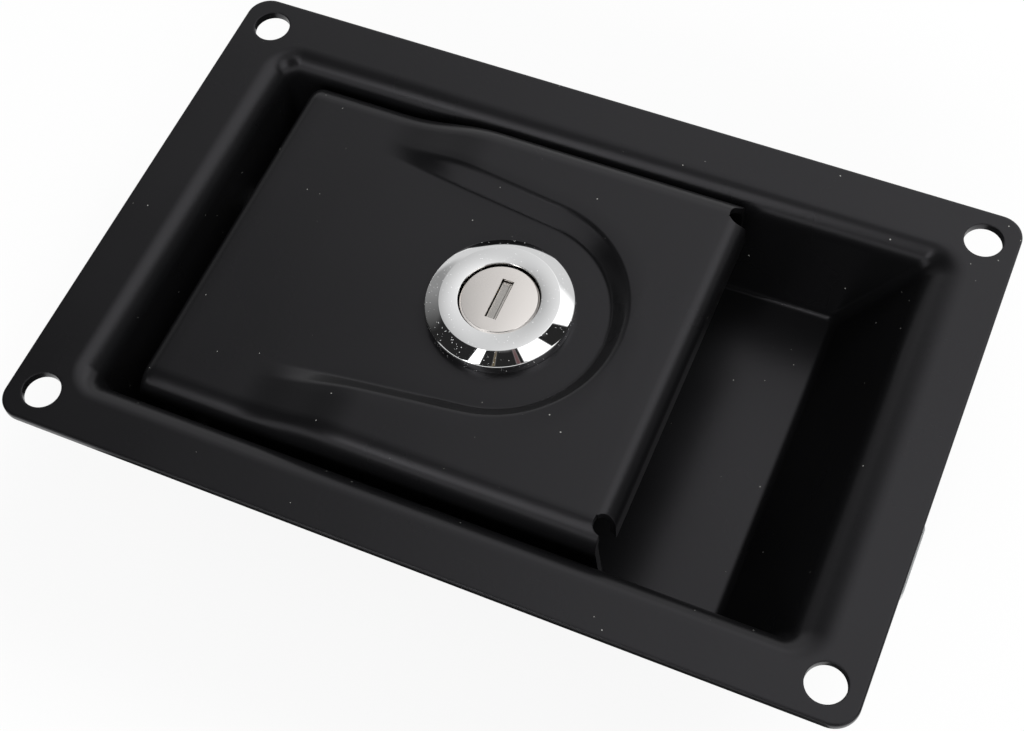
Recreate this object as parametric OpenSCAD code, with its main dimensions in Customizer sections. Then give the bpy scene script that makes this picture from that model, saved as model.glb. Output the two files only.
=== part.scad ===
// Recessed truck door lock: a pressed steel pan with a lift-up paddle, a key lock
// in the paddle and a spring bolt behind the pan. Millimetres.
// Origin: centre of the mounting plate's front face. +X towards the finger pocket,
// +Y across, +Z out of the door.

/* [Mounting plate] */
// Length of the mounting plate
plate_l = 140; // [134:1:170]
// Width of the mounting plate
plate_w = 91; // [86:1:120]
// Corner radius of the mounting plate
plate_r = 5; // [2:0.5:8]
// Thickness of the pan's steel sheet
sheet = 1.5; // [1:0.1:2]
// Diameter of the four mounting holes
hole_d = 6.5; // [4:0.1:7.5]
// Distance of each mounting hole from the two nearest edges
hole_inset = 5.7; // [5:0.1:6.5]

/* [Pan] */
// Length of the pan's mouth, measured where the walls would meet the plate face
pan_l = 117; // [113:0.5:119]
// Width of the pan's mouth
pan_w = 68.1; // [66:0.1:70]
// Offset of the pan's mouth from the plate's centre, along the plate
pan_x = 0.5; // [-1:0.1:1]
// Offset of the pan's mouth from the plate's centre, across the plate
pan_y = -0.55; // [-1:0.05:1]
// Corner radius of the pan's walls
pan_r = 2; // [2:0.5:6]
// Depth of the pan's floor below the plate face
pan_depth = 24.5; // [24:0.5:26]
// Rounding of the lip between plate and wall
lip_r = 4; // [2.2:0.1:4.5]
// Rounding between wall and floor
floor_r = 1; // [0.6:0.1:1.5]
// Angle between the sloping wall of the finger pocket and the floor
pocket_slope = 60; // [52:1:70]
// Inward lean of the other walls over the whole depth
wall_draft = 0.9; // [0.4:0.1:1.1]

/* [Paddle] */
// Distance from the pan's mouth to the paddle's hinge edge
paddle_gap = 6.3; // [4.5:0.1:8]
// Length of the paddle from its hinge edge to the outside of its rolled edge
paddle_l = 80.1; // [76:0.1:82]
// Clearance between the paddle's sides and the pan's mouth
paddle_side_gap = 1.25; // [1.2:0.05:2.5]
// Thickness of the paddle's steel sheet
paddle_t = 1.2; // [1:0.1:1.5]
// Depth of the paddle's low part below the plate face
paddle_low = 1; // [0.8:0.1:2]
// Height of the paddle's raised part above the plate face
paddle_high = 2; // [1.5:0.1:3]
// Distance from the hinge edge to the start of the ramp between the two levels
ramp_start = 16; // [14:0.1:20]
// Length of the ramp
ramp_l = 21; // [10:0.5:22]
// Outer bend radius along the paddle's sides
side_bend_r = 4; // [2.5:0.1:5]
// Inward lean of the side flanges over their depth
side_lean = 1.2; // [0.6:0.1:1.6]
// Bend radius of the paddle's hinge edge
hinge_r = 2.5; // [2.2:0.1:4]
// Length of the paddle's face that the hinge edge's bend takes up
hinge_run = 2; // [0.5:0.1:2.1]
// Depth of the paddle's side flanges below the plate face
side_depth = 14; // [13:0.5:15]
// Outer radius of the rolled finger edge
roll_r = 3; // [2.5:0.1:5]
// Depth of the finger edge's lower rim below the plate face
roll_depth = 4; // [3:0.5:9]
// Radius of the relief notches at the ends of the rolled edge
relief_r = 1.7; // [1.5:0.1:2]
// Reach of the side flanges past the start of the rolled edge
flange_run = 1.4; // [0.8:0.1:1.6]

/* [Lock seat] */
// Distance from the hinge edge to the lock's axis
lock_from_hinge = 48.7; // [48:0.1:52]
// Offset of the lock's axis from the centre line
lock_y = 0.8; // [0:0.1:1]
// Offset of the seat's round end from the centre line
seat_y = 0.3; // [0:0.1:1]
// Radius of the seat's round end at its floor
seat_r = 17.7; // [16.5:0.1:18.5]
// Run of the seat's sloping wall
seat_run = 3.4; // [2:0.1:3.8]
// Angle at which the seat's sides spread towards the hinge
seat_spread = 7; // [4:0.5:9]

/* [Hinge] */
// Diameter of the paddle's pivot pin
pin_d = 5; // [4:0.1:6]
// Distance from the hinge edge to the pivot pin
pin_from_edge = 9.7; // [9:0.1:11]
// Depth of the pivot pin below the plate face
pin_depth = 9.5; // [9:0.1:10]
// Lift of the paddle
lift = 35; // [25:1:36]
// Wire diameter of the paddle's return spring
return_wire = 1.2; // [0.8:0.1:1.6]

/* [Drive] */
// Thickness of the drive arm's plate
arm_t = 3; // [2:0.1:4]
// Distance of the drive arm from the crank's pivot, across the pan
arm_reach = 13.5; // [13:0.5:14.5]
// Length of the drive arm from the pivot pin to its tip
arm_l = 19.4; // [19:0.1:20]
// Radius of the drive arm's tip
arm_tip_r = 3; // [2.5:0.1:3.5]
// Half of the crank's turn
crank_half = 23; // [20:0.5:24]
// Thickness of the crank's plate
crank_t = 2.2; // [1.5:0.1:2.4]
// Half width of the crank's arms
crank_half_w = 4; // [3.5:0.1:4.5]
// Length of the crank's driven arm
crank_in = 18.5; // [18:0.5:19.5]
// Length of the crank's bolt arm
crank_out = 12.8; // [12:0.1:13.5]
// Diameter of the crank's rivet and pin
crank_pin_d = 4; // [3:0.1:4.5]
// Thickness of the washer between crank and pan
crank_washer_t = 0.6; // [0.5:0.1:1]

/* [Bolt] */
// Offset of the bolt from the centre line
bolt_y = -5; // [-7:0.1:-4]
// Width of the bolt
bolt_w = 15; // [13:0.5:17]
// Thickness of the bolt
bolt_t = 8.5; // [7.5:0.1:10]
// Reach of the bolt's tip past the plate's edge
bolt_reach = 0.2; // [0:0.1:3]
// Length of the bolt's thick part
bolt_l = 56; // [54:0.5:60]
// Depth of the flat left at the bolt's tip
bolt_flat = 2; // [1.5:0.1:3]
// Length of the bolt's bevel
bolt_bevel = 12.5; // [9:0.5:14]
// Rounding of the bolt's tip in plan
bolt_nose_r = 2; // [1:0.1:3]
// Diameter of the bolt's round stem
stem_d = 5; // [4:0.1:6]
// Thickness of the bolt's slotted tail
tail_t = 3; // [2.5:0.1:3.2]
// Length of the bolt guide
guide_l = 20; // [16:0.5:21]
// Sheet thickness of the brackets behind the pan
bracket_t = 1.5; // [1:0.1:2]
// Wire diameter of the bolt's spring
bolt_wire = 1; // [0.8:0.1:1.2]
// Diameter of the rivets
rivet_d = 4; // [3:0.1:4.5]

/* [Key lock] */
// Diameter of the lock's bezel
bezel_d = 24.2; // [22:0.2:26]
// Height of the lock's bezel above its seat
bezel_h = 3; // [2.5:0.1:4]
// Width of the bezel's conical band
bezel_band = 2.4; // [1.5:0.1:2.6]
// Drop of the bezel's conical band over its width
bezel_drop = 1.4; // [1:0.1:2]
// Diameter of the lock's barrel
barrel_d = 18.8; // [17:0.1:19]
// Width across the barrel's two flats
barrel_flats = 16.2; // [15:0.1:16.5]
// Length of the barrel below its seat
barrel_l = 14.9; // [14:0.1:15]
// Diameter of the key plug
plug_d = 12.8; // [12.4:0.1:13.2]
// Length of the keyway across the plug's face
key_l = 7.5; // [6.5:0.1:8]
// Width of the keyway
key_w = 2; // [1.8:0.1:2.2]
// Depth of the keyway
key_depth = 14.5; // [13.5:0.1:14.6]
// Number of wafers in the plug
wafer_count = 5; // [3:1:5]
// Width across the flats of the lock's nut
nut_w = 23.8; // [22:0.1:26]
// Clearance between the cam keeper's foot and the pan's back wall
keeper_gap = 2.3; // [1.5:0.1:4]
// Thickness of the cam
cam_t = 2.2; // [1.5:0.1:2.2]

/* [Hidden] */
$fn = 48;
corner_steps = 6;
lip_steps = 5;
coil_steps = 16;
wire_sides = 8;
seat_steps = 4;
ramp_steps = 8;
hinge_steps = 3;
seat_min = 0.4;

// Clearances
pin_play = 0.05;
slide_play = 0.3;
seat_play = 0.1;
arm_play = 0.3;
cut = 1;

// Pan
floor_top = -pan_depth;
floor_back = floor_top - sheet;
mouth_left = pan_x - pan_l / 2;
mouth_right = pan_x + pan_l / 2;
hole_x = plate_l / 2 - hole_inset;
hole_y = plate_w / 2 - hole_inset;

// Paddle
hinge_edge = mouth_left + paddle_gap;
paddle_end = hinge_edge + paddle_l;
half_w = pan_w / 2 - paddle_side_gap;
roll_start = paddle_end - roll_r;
ramp_x = hinge_edge + ramp_start;
low_back = -paddle_low - paddle_t;
step_h = paddle_high + paddle_low;
lock_x = hinge_edge + lock_from_hinge;
flange_end = roll_start + flange_run;
roll_gap = 0.3;
wall_straight = 0.7;
roll_half = half_w - side_bend_r - roll_gap;
relief_x = roll_start + relief_r - 0.1;
relief_y = roll_half + 1;
roll_inset = 0.02;
roll_root = 1;

// Hinge and drive
pin_x = hinge_edge + pin_from_edge;
pin_z = -pin_depth;
wall_out = pan_w / 2 + sheet;
pin_head_d = pin_d + 3;
pin_head_t = 1.5;
clip_t = 0.8;
return_y = -6;
arm_half = lift / 2;
tip_x = pin_x - arm_l * sin(arm_half);
tip_z = pin_z - arm_l * cos(arm_half);
edge_y = arm_reach + arm_t / 2;
crank_washer_d = 2.5 * crank_pin_d;
crank_top = floor_back - crank_washer_t;
crank_back = crank_top - crank_t;
arm_front = tip_x + (crank_top - tip_z) * tan(arm_half) + arm_tip_r / cos(arm_half);
crank_edge = edge_y * tan(crank_half) + crank_half_w / cos(crank_half);
crank_x = arm_front + arm_play + crank_edge;
crank_y = bolt_y + crank_out * cos(crank_half);
arm_y = crank_y + arm_reach;
link_x = crank_x + crank_out * sin(crank_half);
link_y = bolt_y;

// Bolt
bolt_gap = 0.5;
bolt_top = floor_back - bolt_gap;
bolt_back = bolt_top - bolt_t;
bolt_tip = plate_l / 2 + bolt_reach;
bolt_shoulder = bolt_tip - bolt_l;
stem_z = crank_back - slide_play - 0.15 - tail_t / 2;
travel = 2 * crank_out * sin(crank_half);
tail_half = 6.5;
tail_front = link_x - 5.8;
tail_back = link_x + 6.8;
floor_end = mouth_right - pan_depth / tan(pocket_slope) - floor_r;
guide_end = floor_end;
guide_start = guide_end - guide_l;
foot_w = 9;
guide_half = bolt_w / 2 + slide_play;
stop_x = tail_back + 7;
stop_w = 20;
rivet_head_d = rivet_d + 3;
rivet_head_h = 1.6;
bolt_coil_r = stem_d / 2 + bolt_wire / 2 + slide_play;

// Key lock
seat_z = -paddle_low;
bezel_top = seat_z + bezel_h;
barrel_end = seat_z - barrel_l;
plug_end = barrel_end - 0.3;
square_w = 6;
cam_back = plug_end - cam_t;
lock_washer_t = 0.8;
nut_t = 4;
cam_tip_r = 4.5;
cam_hub_r = 7.5;
cam_washer_t = 0.8;
cam_washer_d = 11;
cam_screw_d = 4;
wafer_w = 4.4;
wafer_l = 10.8;
wafer_t = 0.9;
wafer_pitch = 1.9;
wafer_play = 0.1;
wafer_top = seat_z - 2;
shutter_t = 0.4;
shutter_depth = 0.9;
keeper_w = 16;
keeper_leg = 7.5;
keeper_play = 0.5;
keeper_foot = 7;
keeper_y = pan_y + pan_w / 2 - wall_draft - keeper_gap - keeper_foot - bracket_t;
cam_end_gap = 1.5;
cam_reach = keeper_y - cam_end_gap - lock_y;

black = [0.13, 0.13, 0.135];
zinc = [0.74, 0.75, 0.74];
chrome = [0.86, 0.87, 0.88];
nickel = [0.70, 0.69, 0.66];
brass = [0.78, 0.66, 0.36];
spring_steel = [0.55, 0.56, 0.58];

// Outline shapes
module rounded_rectangle(l, w, r) {
    square([l - 2 * r, w], center = true);
    square([l, w - 2 * r], center = true);
    for (x = [-1, 1], y = [-1, 1])
        translate([x * (l / 2 - r), y * (w / 2 - r)]) circle(r);
}

module stadium(l, d) {
    square([l - d, d], center = true);
    for (s = [-1, 1]) translate([s * (l - d) / 2, 0]) circle(d = d);
}

// Two round ends joined by their outer tangents
module link(p, rp, q, rq) {
    hull() {
        translate(p) circle(rp);
        translate(q) circle(rq);
    }
}

// Closed skin over a stack of rings with the same number of points. The section of
// a bent sheet is a band, whose ends are closed between its two faces.
module skin(rings, band = false) {
    n = len(rings[0]);
    last = len(rings) - 1;
    strip = function (k) [
        for (i = [0:n / 2 - 2])
            [k * n + i, k * n + i + 1, k * n + n - 2 - i, k * n + n - 1 - i]
    ];
    polyhedron(
        points = [for (ring = rings) for (p = ring) p],
        faces = concat(
            band ? [for (f = strip(0)) [f[3], f[2], f[1], f[0]]] : [[for (i = [n - 1:-1:0]) i]],
            band ? strip(last) : [[for (i = [0:n - 1]) last * n + i]],
            [for (k = [0:last - 1], i = [0:n - 1])
                [k * n + i, k * n + (i + 1) % n, (k + 1) * n + (i + 1) % n]],
            [for (k = [0:last - 1], i = [0:n - 1])
                [k * n + i, (k + 1) * n + (i + 1) % n, (k + 1) * n + i]]
        )
    );
}

// One level of the pan: a rounded rectangle whose left and right sides have their own places
function pan_ring(left, right, half, r, z) = [
    for (c = [0:3], i = [0:corner_steps])
        let (
            a = 90 * (c + i / corner_steps),
            cx = c == 0 || c == 3 ? right - r : left + r,
            cy = c < 2 ? half - r : r - half
        )
        [cx + r * cos(a), pan_y + cy + r * sin(a), z]
];

// Levels of the pan's inside, or of its outside where grow is the sheet thickness
function pan_rings(grow, top, lip, foot, bottom) =
    let (
        tan_slope = tan(pocket_slope),
        slope_out = grow / sin(pocket_slope),
        bend = 1 - cos(pocket_slope),
        draft = wall_draft / pan_depth,
        left = function (z) mouth_left - grow - draft * z,
        right = function (z) mouth_right + slope_out + z / tan_slope,
        half = function (z) pan_w / 2 + grow + draft * z,
        ring = function (z, side, pocket)
            pan_ring(left(z) - side, right(z) + pocket, half(z) + side, pan_r + grow + side, z),
        lip_low = top - lip,
        lip_ring = function (a)
            let (
                z = top - lip * (1 - cos(a)),
                b = acos(1 - bend * (1 - cos(a))),
                pocket = lip / bend * (sin(pocket_slope) - sin(b)) - (z - lip_low) / tan_slope
            )
            ring(z, lip * (1 - sin(a)), pocket),
        foot_ring = function (a)
            let (
                z = bottom + foot * (1 - cos(a)),
                b = acos(1 - bend * (1 - cos(a))),
                rise = bottom + foot - z,
                pocket = rise / tan_slope - foot / bend * (sin(pocket_slope) - sin(b))
            )
            ring(z, -foot * (1 - sin(a)), pocket)
    )
    concat(
        [[for (p = lip_ring(0)) [p.x, p.y, top + (grow > 0 ? grow / 2 : cut)]]],
        [for (i = [0:lip_steps]) lip_ring(90 * i / lip_steps)],
        [for (i = [lip_steps:-1:0]) foot_ring(90 * i / lip_steps)]
    );

// Places of the holes in the pan's floor
bracket_rivet_places = [
    for (s = [-1, 1]) [stop_x - foot_w / 2, bolt_y + s * (stop_w / 2 - rivet_head_d / 2)]
];
keeper_rivet_places = [
    for (s = [-1, 1]) [lock_x + s * keeper_w / 4, keeper_y + bracket_t + keeper_foot / 2]
];

// Pan with its mounting plate, drawn from one sheet
module pan() {
    arm_slot_l = 2 * arm_l * sin(arm_half) + 2 * arm_tip_r + 3;
    color(black)
    difference() {
        union() {
            translate([0, 0, -sheet])
                linear_extrude(sheet) rounded_rectangle(plate_l, plate_w, plate_r);
            skin(pan_rings(sheet, -sheet, lip_r - sheet, floor_r + sheet, floor_back));
        }
        skin(pan_rings(0, 0, lip_r, floor_r, floor_top));
        for (x = [-1, 1], y = [-1, 1])
            translate([x * hole_x, y * hole_y, -sheet - cut])
                cylinder(d = hole_d, h = sheet + 2 * cut);
        translate([pin_x, 0, pin_z]) rotate([90, 0, 0])
            cylinder(r = pin_d / 2 + pin_play, h = plate_w, center = true);
        translate([pin_x, arm_y, floor_back - cut])
            linear_extrude(sheet + 2 * cut) stadium(arm_slot_l, arm_t + 2);
        translate([crank_x, crank_y, floor_back - cut])
            cylinder(r = crank_pin_d / 2 + pin_play, h = sheet + 2 * cut);
        for (p = concat(bracket_rivet_places, keeper_rivet_places))
            translate([p.x, p.y, floor_back - cut])
                cylinder(r = rivet_d / 2 + pin_play, h = sheet + 2 * cut);
    }
}

// Share of a rise reached at s: smooth at both ends, or sharp at its foot
function smooth(s) = let (c = max(0, min(1, s))) c * c * (3 - 2 * c);
function pressed(s) =
    let (c = max(0, min(1, s)), rise = 2 / (1 + wall_straight))
    c < wall_straight ? rise * c : 1 - rise / 2 / (1 - wall_straight) * (1 - c) * (1 - c);

// Distance of a point of the paddle from the middle line of the lock seat
function seat_distance(x, y) =
    let (
        dx = x - lock_x,
        dy = abs(y - seat_y),
        along = dy * sin(seat_spread) - dx * cos(seat_spread)
    )
    along > 0 ? dx * sin(seat_spread) + dy * cos(seat_spread) : norm([dx, dy]);

// Half width of the seat's outline of radius r at a place along the paddle
function seat_half(x, r) =
    let (dx = x - lock_x)
    dx < r * sin(seat_spread)
        ? (r - dx * sin(seat_spread)) / cos(seat_spread)
        : sqrt(max(0, r * r - dx * dx));

// Drop of the paddle's face where its hinge edge bends down
function hinge_drop(x) =
    let (d = max(0, hinge_edge + hinge_run - x)) hinge_r - sqrt(hinge_r * hinge_r - d * d);

// Height of the paddle's face: low at the hinge and in the seat, high elsewhere
function paddle_face(x, y) =
    step_h * smooth((x - ramp_x) / ramp_l) * pressed((seat_distance(x, y) - seat_r) / seat_run)
    - paddle_low - hinge_drop(x);

// Places across the paddle where its face is measured, from one side to the other
function seat_offset(x, k) =
    min(
        max(seat_half(x, seat_r + seat_run * k / seat_steps), seat_min * (k + 1)),
        half_w - side_bend_r - seat_y - seat_min * (seat_steps + 1 - k)
    );
function face_places(x) = concat(
    [for (k = [seat_steps:-1:0]) seat_y + seat_offset(x, k)],
    [seat_y],
    [for (k = [0:seat_steps]) seat_y - seat_offset(x, k)]
);

// Section of the paddle across the pan: face, two bends and two side flanges
function paddle_ring(x) =
    let (
        flat = half_w - side_bend_r,
        inner_r = side_bend_r - paddle_t,
        centre = paddle_face(x, half_w) - side_bend_r,
        places = face_places(x),
        last = len(places) - 1,
        arc = function (s, r, up) [
            for (i = [0:corner_steps])
                let (a = 90 * (up ? i : corner_steps - i) / corner_steps)
                [x, s * (flat + r * cos(a)), centre + r * sin(a)]
        ]
    )
    concat(
        [[x, half_w - side_lean, -side_depth]],
        arc(1, side_bend_r, true),
        [for (y = places) [x, y, paddle_face(x, y)]],
        arc(-1, side_bend_r, false),
        [[x, side_lean - half_w, -side_depth], [x, paddle_t + side_lean - half_w, -side_depth]],
        arc(-1, inner_r, true),
        [for (i = [last:-1:0]) [x, places[i], paddle_face(x, places[i]) - paddle_t]],
        arc(1, inner_r, false),
        [[x, half_w - paddle_t - side_lean, -side_depth]]
    );

// Hole in the seat for the lock's barrel, with two flats against turning
module barrel_outline(d, flats) {
    intersection() {
        circle(d = d);
        square([flats, d], center = true);
    }
}

// Section of the rolled finger edge, rooted inside the paddle's sheet
module roll_outline() {
    outer = roll_r - roll_inset;
    inner = roll_r - paddle_t + roll_inset;
    rim_h = roll_depth + paddle_high - roll_r;
    intersection() {
        difference() {
            circle(outer);
            circle(inner);
        }
        square(2 * roll_r);
    }
    translate([-roll_root, inner]) square([roll_root, outer - inner]);
    translate([inner, -rim_h]) square([outer - inner, rim_h]);
}

// Paddle: one folded sheet with a pressed lock seat and a rolled finger edge
module paddle() {
    stations = concat(
        [flange_end, roll_start],
        [for (k = [seat_steps:-1:0]) lock_x + seat_r + seat_run * k / seat_steps],
        [for (a = [20:10:90]) lock_x + seat_r * cos(a)],
        [for (i = [ramp_steps:-1:0]) ramp_x + ramp_l * i / ramp_steps],
        [for (i = [hinge_steps:-1:0]) hinge_edge + hinge_run * i / hinge_steps]
    );
    color(black)
    difference() {
        union() {
            difference() {
                skin([for (x = stations) paddle_ring(x)], band = true);
                translate([roll_start, -relief_y, paddle_high - side_bend_r])
                    cube([flange_run + cut, 2 * relief_y, side_bend_r + cut]);
            }
            translate([roll_start, roll_half, paddle_high - roll_r]) rotate([90, 0, 0])
                linear_extrude(2 * roll_half) roll_outline();
        }
        translate([lock_x, lock_y, low_back - cut])
            linear_extrude(paddle_t + 2 * cut)
                barrel_outline(barrel_d + 2 * seat_play, barrel_flats + 2 * seat_play);
        translate([pin_x, 0, pin_z]) rotate([90, 0, 0])
            cylinder(r = pin_d / 2 + pin_play, h = plate_w, center = true);
        for (s = [-1, 1])
            translate([relief_x, s * relief_y, paddle_high - roll_r])
                cylinder(r = relief_r, h = 4 * roll_r, center = true);
    }
}

// Headed pin through both side walls of the pan
module pivot_pin() {
    color(zinc)
    translate([pin_x, pan_y, pin_z]) rotate([90, 0, 0]) {
        translate([0, 0, -wall_out - seat_play - pin_head_t])
            cylinder(d = pin_head_d, h = pin_head_t);
        translate([0, 0, -wall_out - seat_play])
            cylinder(d = pin_d, h = 2 * wall_out + 2 * seat_play + clip_t + 1.5);
    }
}

// Push-on ring at the plain end of the pin
module pin_clip() {
    color(spring_steel)
    translate([pin_x, pan_y - wall_out - seat_play, pin_z]) rotate([90, 0, 0])
        difference() {
            cylinder(d = 2.2 * pin_d, h = clip_t);
            translate([0, 0, -cut]) cylinder(r = pin_d / 2 + pin_play, h = clip_t + 2 * cut);
        }
}

// Round wire along a coil about Z, with a straight leg at each end
module coil(r, wire, pitch, first, turns, first_leg = 0, last_leg = 0) {
    steps = round(turns * coil_steps);
    place = function (a, along, z) [
        for (i = [0:wire_sides - 1])
            let (b = -360 * i / wire_sides, q = r + wire / 2 * cos(b))
            [q * cos(a) - along * sin(a), q * sin(a) + along * cos(a), z + wire / 2 * sin(b)]
    ];
    last = first + 360 * turns;
    skin(concat(
        first_leg > 0 ? [place(first, -first_leg, 0)] : [],
        [for (k = [0:steps]) place(first + 360 * turns * k / steps, 0, pitch * turns * k / steps)],
        last_leg > 0 ? [place(last, last_leg, pitch * turns)] : []
    ));
}

// Torsion spring on the pin: one leg on the pan's floor, one under the paddle
module return_spring() {
    r = pin_depth - paddle_low - paddle_t - return_wire / 2 - seat_play;
    turns = 3.75;
    leg_up = 14;
    leg_down = pan_depth - pin_depth - seat_play;
    color(spring_steel)
    translate([pin_x, return_y, pin_z]) rotate([90, 0, 0]) mirror([1, 0, 0])
        coil(r, return_wire, return_wire + 0.25, 0, turns + 0.5, leg_down, leg_up);
}

// Lever welded under the paddle; its tip goes through the pan's floor
module drive_arm() {
    hub_r = 1.14 * pin_d;
    weld_l = 13;
    weld_t = 2;
    color(zinc)
    translate([0, arm_y + arm_t / 2, 0]) rotate([90, 0, 0])
        difference() {
            linear_extrude(arm_t) {
                link([pin_x, pin_z], arm_tip_r, [tip_x, tip_z], arm_tip_r);
                translate([pin_x, pin_z]) circle(hub_r);
                translate([pin_x - hub_r, pin_z]) square([2 * hub_r, low_back - pin_z]);
                translate([pin_x - hub_r, low_back - weld_t]) square([weld_l, weld_t]);
            }
            translate([pin_x, pin_z, -cut])
                cylinder(r = pin_d / 2 + pin_play, h = arm_t + 2 * cut);
        }
}

// Flat lever under the pan that turns the arm's push into the bolt's pull
module bell_crank() {
    pivot = [crank_x, crank_y];
    driven = pivot + crank_in * [-sin(crank_half), cos(crank_half)];
    pulling = [link_x, link_y];
    color(zinc)
    difference() {
        translate([0, 0, crank_back])
            linear_extrude(crank_t) {
                link(pivot, crank_half_w, driven, crank_half_w);
                link(pivot, crank_half_w, pulling, crank_half_w);
                translate(pivot) circle(crank_half_w + 1.5);
            }
        for (p = [pivot, pulling])
            translate([p.x, p.y, crank_back - cut])
                cylinder(r = crank_pin_d / 2 + pin_play, h = crank_t + 2 * cut);
    }
}

module ring(d_in, d_out, h) {
    difference() {
        cylinder(d = d_out, h = h);
        translate([0, 0, -cut]) cylinder(d = d_in, h = h + 2 * cut);
    }
}

// Spacer between the crank and the pan's floor
module crank_washer() {
    color(zinc)
    translate([crank_x, crank_y, crank_top])
        ring(crank_pin_d + 2 * pin_play, crank_washer_d, crank_washer_t);
}

// Rivet with a head at each end, grip measured down from its upper head
module rivet(d, grip, play) {
    head_d = d + 3;
    cylinder(d = head_d, h = rivet_head_h);
    translate([0, 0, -grip - play]) cylinder(d = d, h = grip + play + cut);
    translate([0, 0, -grip - play - rivet_head_h]) cylinder(d = head_d, h = rivet_head_h);
}

// Pivot of the crank, riveted in the pan's floor
module crank_rivet() {
    color(zinc)
    translate([crank_x, crank_y, floor_top])
        rivet(crank_pin_d, floor_top - crank_back, seat_play);
}

// Pin of the crank, working in the bolt's slot
module crank_pin() {
    head_t = 0.3;
    color(zinc)
    translate([link_x, link_y, 0]) {
        translate([0, 0, stem_z - tail_t / 2 - 1])
            cylinder(d = crank_pin_d, h = crank_top - stem_z + tail_t / 2 + 1);
        translate([0, 0, crank_top]) cylinder(d = crank_pin_d + 1.5, h = head_t);
    }
}

// Bolt: bevelled nose, round stem and slotted tail in one piece
module bolt() {
    swing = crank_out * (1 - cos(crank_half));
    slot_w = crank_pin_d + 2 * slide_play;
    color(zinc) {
        intersection() {
            translate([0, bolt_y, bolt_back]) linear_extrude(bolt_t) {
                translate([bolt_shoulder, -bolt_w / 2])
                    square([bolt_l - bolt_nose_r, bolt_w]);
                translate([bolt_shoulder, bolt_nose_r - bolt_w / 2])
                    square([bolt_l, bolt_w - 2 * bolt_nose_r]);
                for (s = [-1, 1])
                    translate([bolt_tip - bolt_nose_r, s * (bolt_w / 2 - bolt_nose_r)])
                        circle(bolt_nose_r);
            }
            translate([0, bolt_y + bolt_w, 0]) rotate([90, 0, 0])
                linear_extrude(2 * bolt_w)
                    polygon([
                        [bolt_shoulder - cut, bolt_top + cut],
                        [bolt_tip + cut, bolt_top + cut],
                        [bolt_tip + cut, bolt_top - bolt_flat],
                        [bolt_tip, bolt_top - bolt_flat],
                        [bolt_tip - bolt_bevel, bolt_back],
                        [bolt_tip - bolt_bevel, bolt_back - cut],
                        [bolt_shoulder - cut, bolt_back - cut]
                    ]);
        }
        translate([tail_back - cut, bolt_y, stem_z]) rotate([0, 90, 0])
            cylinder(d = stem_d, h = bolt_shoulder - tail_back + 2 * cut);
        translate([0, bolt_y, stem_z - tail_t / 2])
            linear_extrude(tail_t)
                difference() {
                    translate([(tail_front + tail_back) / 2, 0])
                        rounded_rectangle(tail_back - tail_front, 2 * tail_half, 2);
                    translate([link_x, -swing / 2]) rotate(90)
                        stadium(swing + slot_w, slot_w);
                }
    }
}

// Folded strap that carries the bolt's thick part, spot-welded under the floor
module bolt_guide() {
    inside = bolt_gap + bolt_t + slide_play;
    outer = guide_half + bracket_t;
    color(zinc)
    translate([guide_start, bolt_y, floor_back]) rotate([90, 0, 90])
        linear_extrude(guide_l)
            difference() {
                union() {
                    translate([-outer, -inside - bracket_t])
                        square([2 * outer, inside + bracket_t]);
                    translate([-outer - foot_w, -bracket_t])
                        square([2 * (outer + foot_w), bracket_t]);
                }
                translate([-guide_half, -inside]) square([2 * guide_half, inside + cut]);
            }
}

// Angle bracket with a fork round the bolt's stem, seat of the bolt's spring
module spring_bracket() {
    leg_h = floor_back - stem_z + stem_d;
    color(zinc)
    difference() {
        union() {
            translate([stop_x - foot_w, bolt_y - stop_w / 2, floor_back - bracket_t])
                cube([foot_w + bracket_t, stop_w, bracket_t]);
            translate([stop_x, bolt_y - stop_w / 2, floor_back - leg_h])
                cube([bracket_t, stop_w, leg_h]);
        }
        translate([stop_x - cut, bolt_y, stem_z]) rotate([0, 90, 0])
            cylinder(r = stem_d / 2 + slide_play, h = bracket_t + 2 * cut);
        translate([stop_x - cut, bolt_y - stem_d / 2 - slide_play, floor_back - leg_h - cut])
            cube([bracket_t + 2 * cut, stem_d + 2 * slide_play, leg_h + cut - floor_back + stem_z]);
        for (p = bracket_rivet_places)
            translate([p.x, p.y, floor_back - bracket_t - cut])
                cylinder(r = rivet_d / 2 + pin_play, h = bracket_t + 2 * cut);
    }
}

module bracket_rivets() {
    color(zinc)
    for (p = bracket_rivet_places)
        translate([p.x, p.y, floor_top]) rivet(rivet_d, sheet + bracket_t, 0);
}

// Compression spring round the bolt's stem
module bolt_spring() {
    turns = 8;
    room = bolt_shoulder - stop_x - bracket_t - 2 * seat_play;
    color(spring_steel)
    translate([stop_x + bracket_t + seat_play + bolt_wire / 2, bolt_y, stem_z])
        rotate([0, 90, 0]) coil(bolt_coil_r, bolt_wire, (room - bolt_wire) / turns, 0, turns);
}

// Lock housing: chromed bezel and threaded barrel in one casting
module lock_housing() {
    rim_h = bezel_h - bezel_drop;
    bore_r = plug_d / 2 + seat_play;
    barrel_r = barrel_d / 2;
    color(chrome)
    translate([lock_x, lock_y, 0])
        difference() {
            rotate_extrude()
                polygon([
                    [bore_r, bezel_top],
                    [bezel_d / 2 - bezel_band, bezel_top],
                    [bezel_d / 2, seat_z + rim_h],
                    [bezel_d / 2, seat_z],
                    [barrel_r, seat_z],
                    [barrel_r, barrel_end],
                    [bore_r, barrel_end]
                ]);
            for (s = [0, 180])
                rotate(s) translate([barrel_flats / 2, -barrel_d, barrel_end - cut])
                    cube([barrel_d, 2 * barrel_d, barrel_l + cut]);
        }
}

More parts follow.
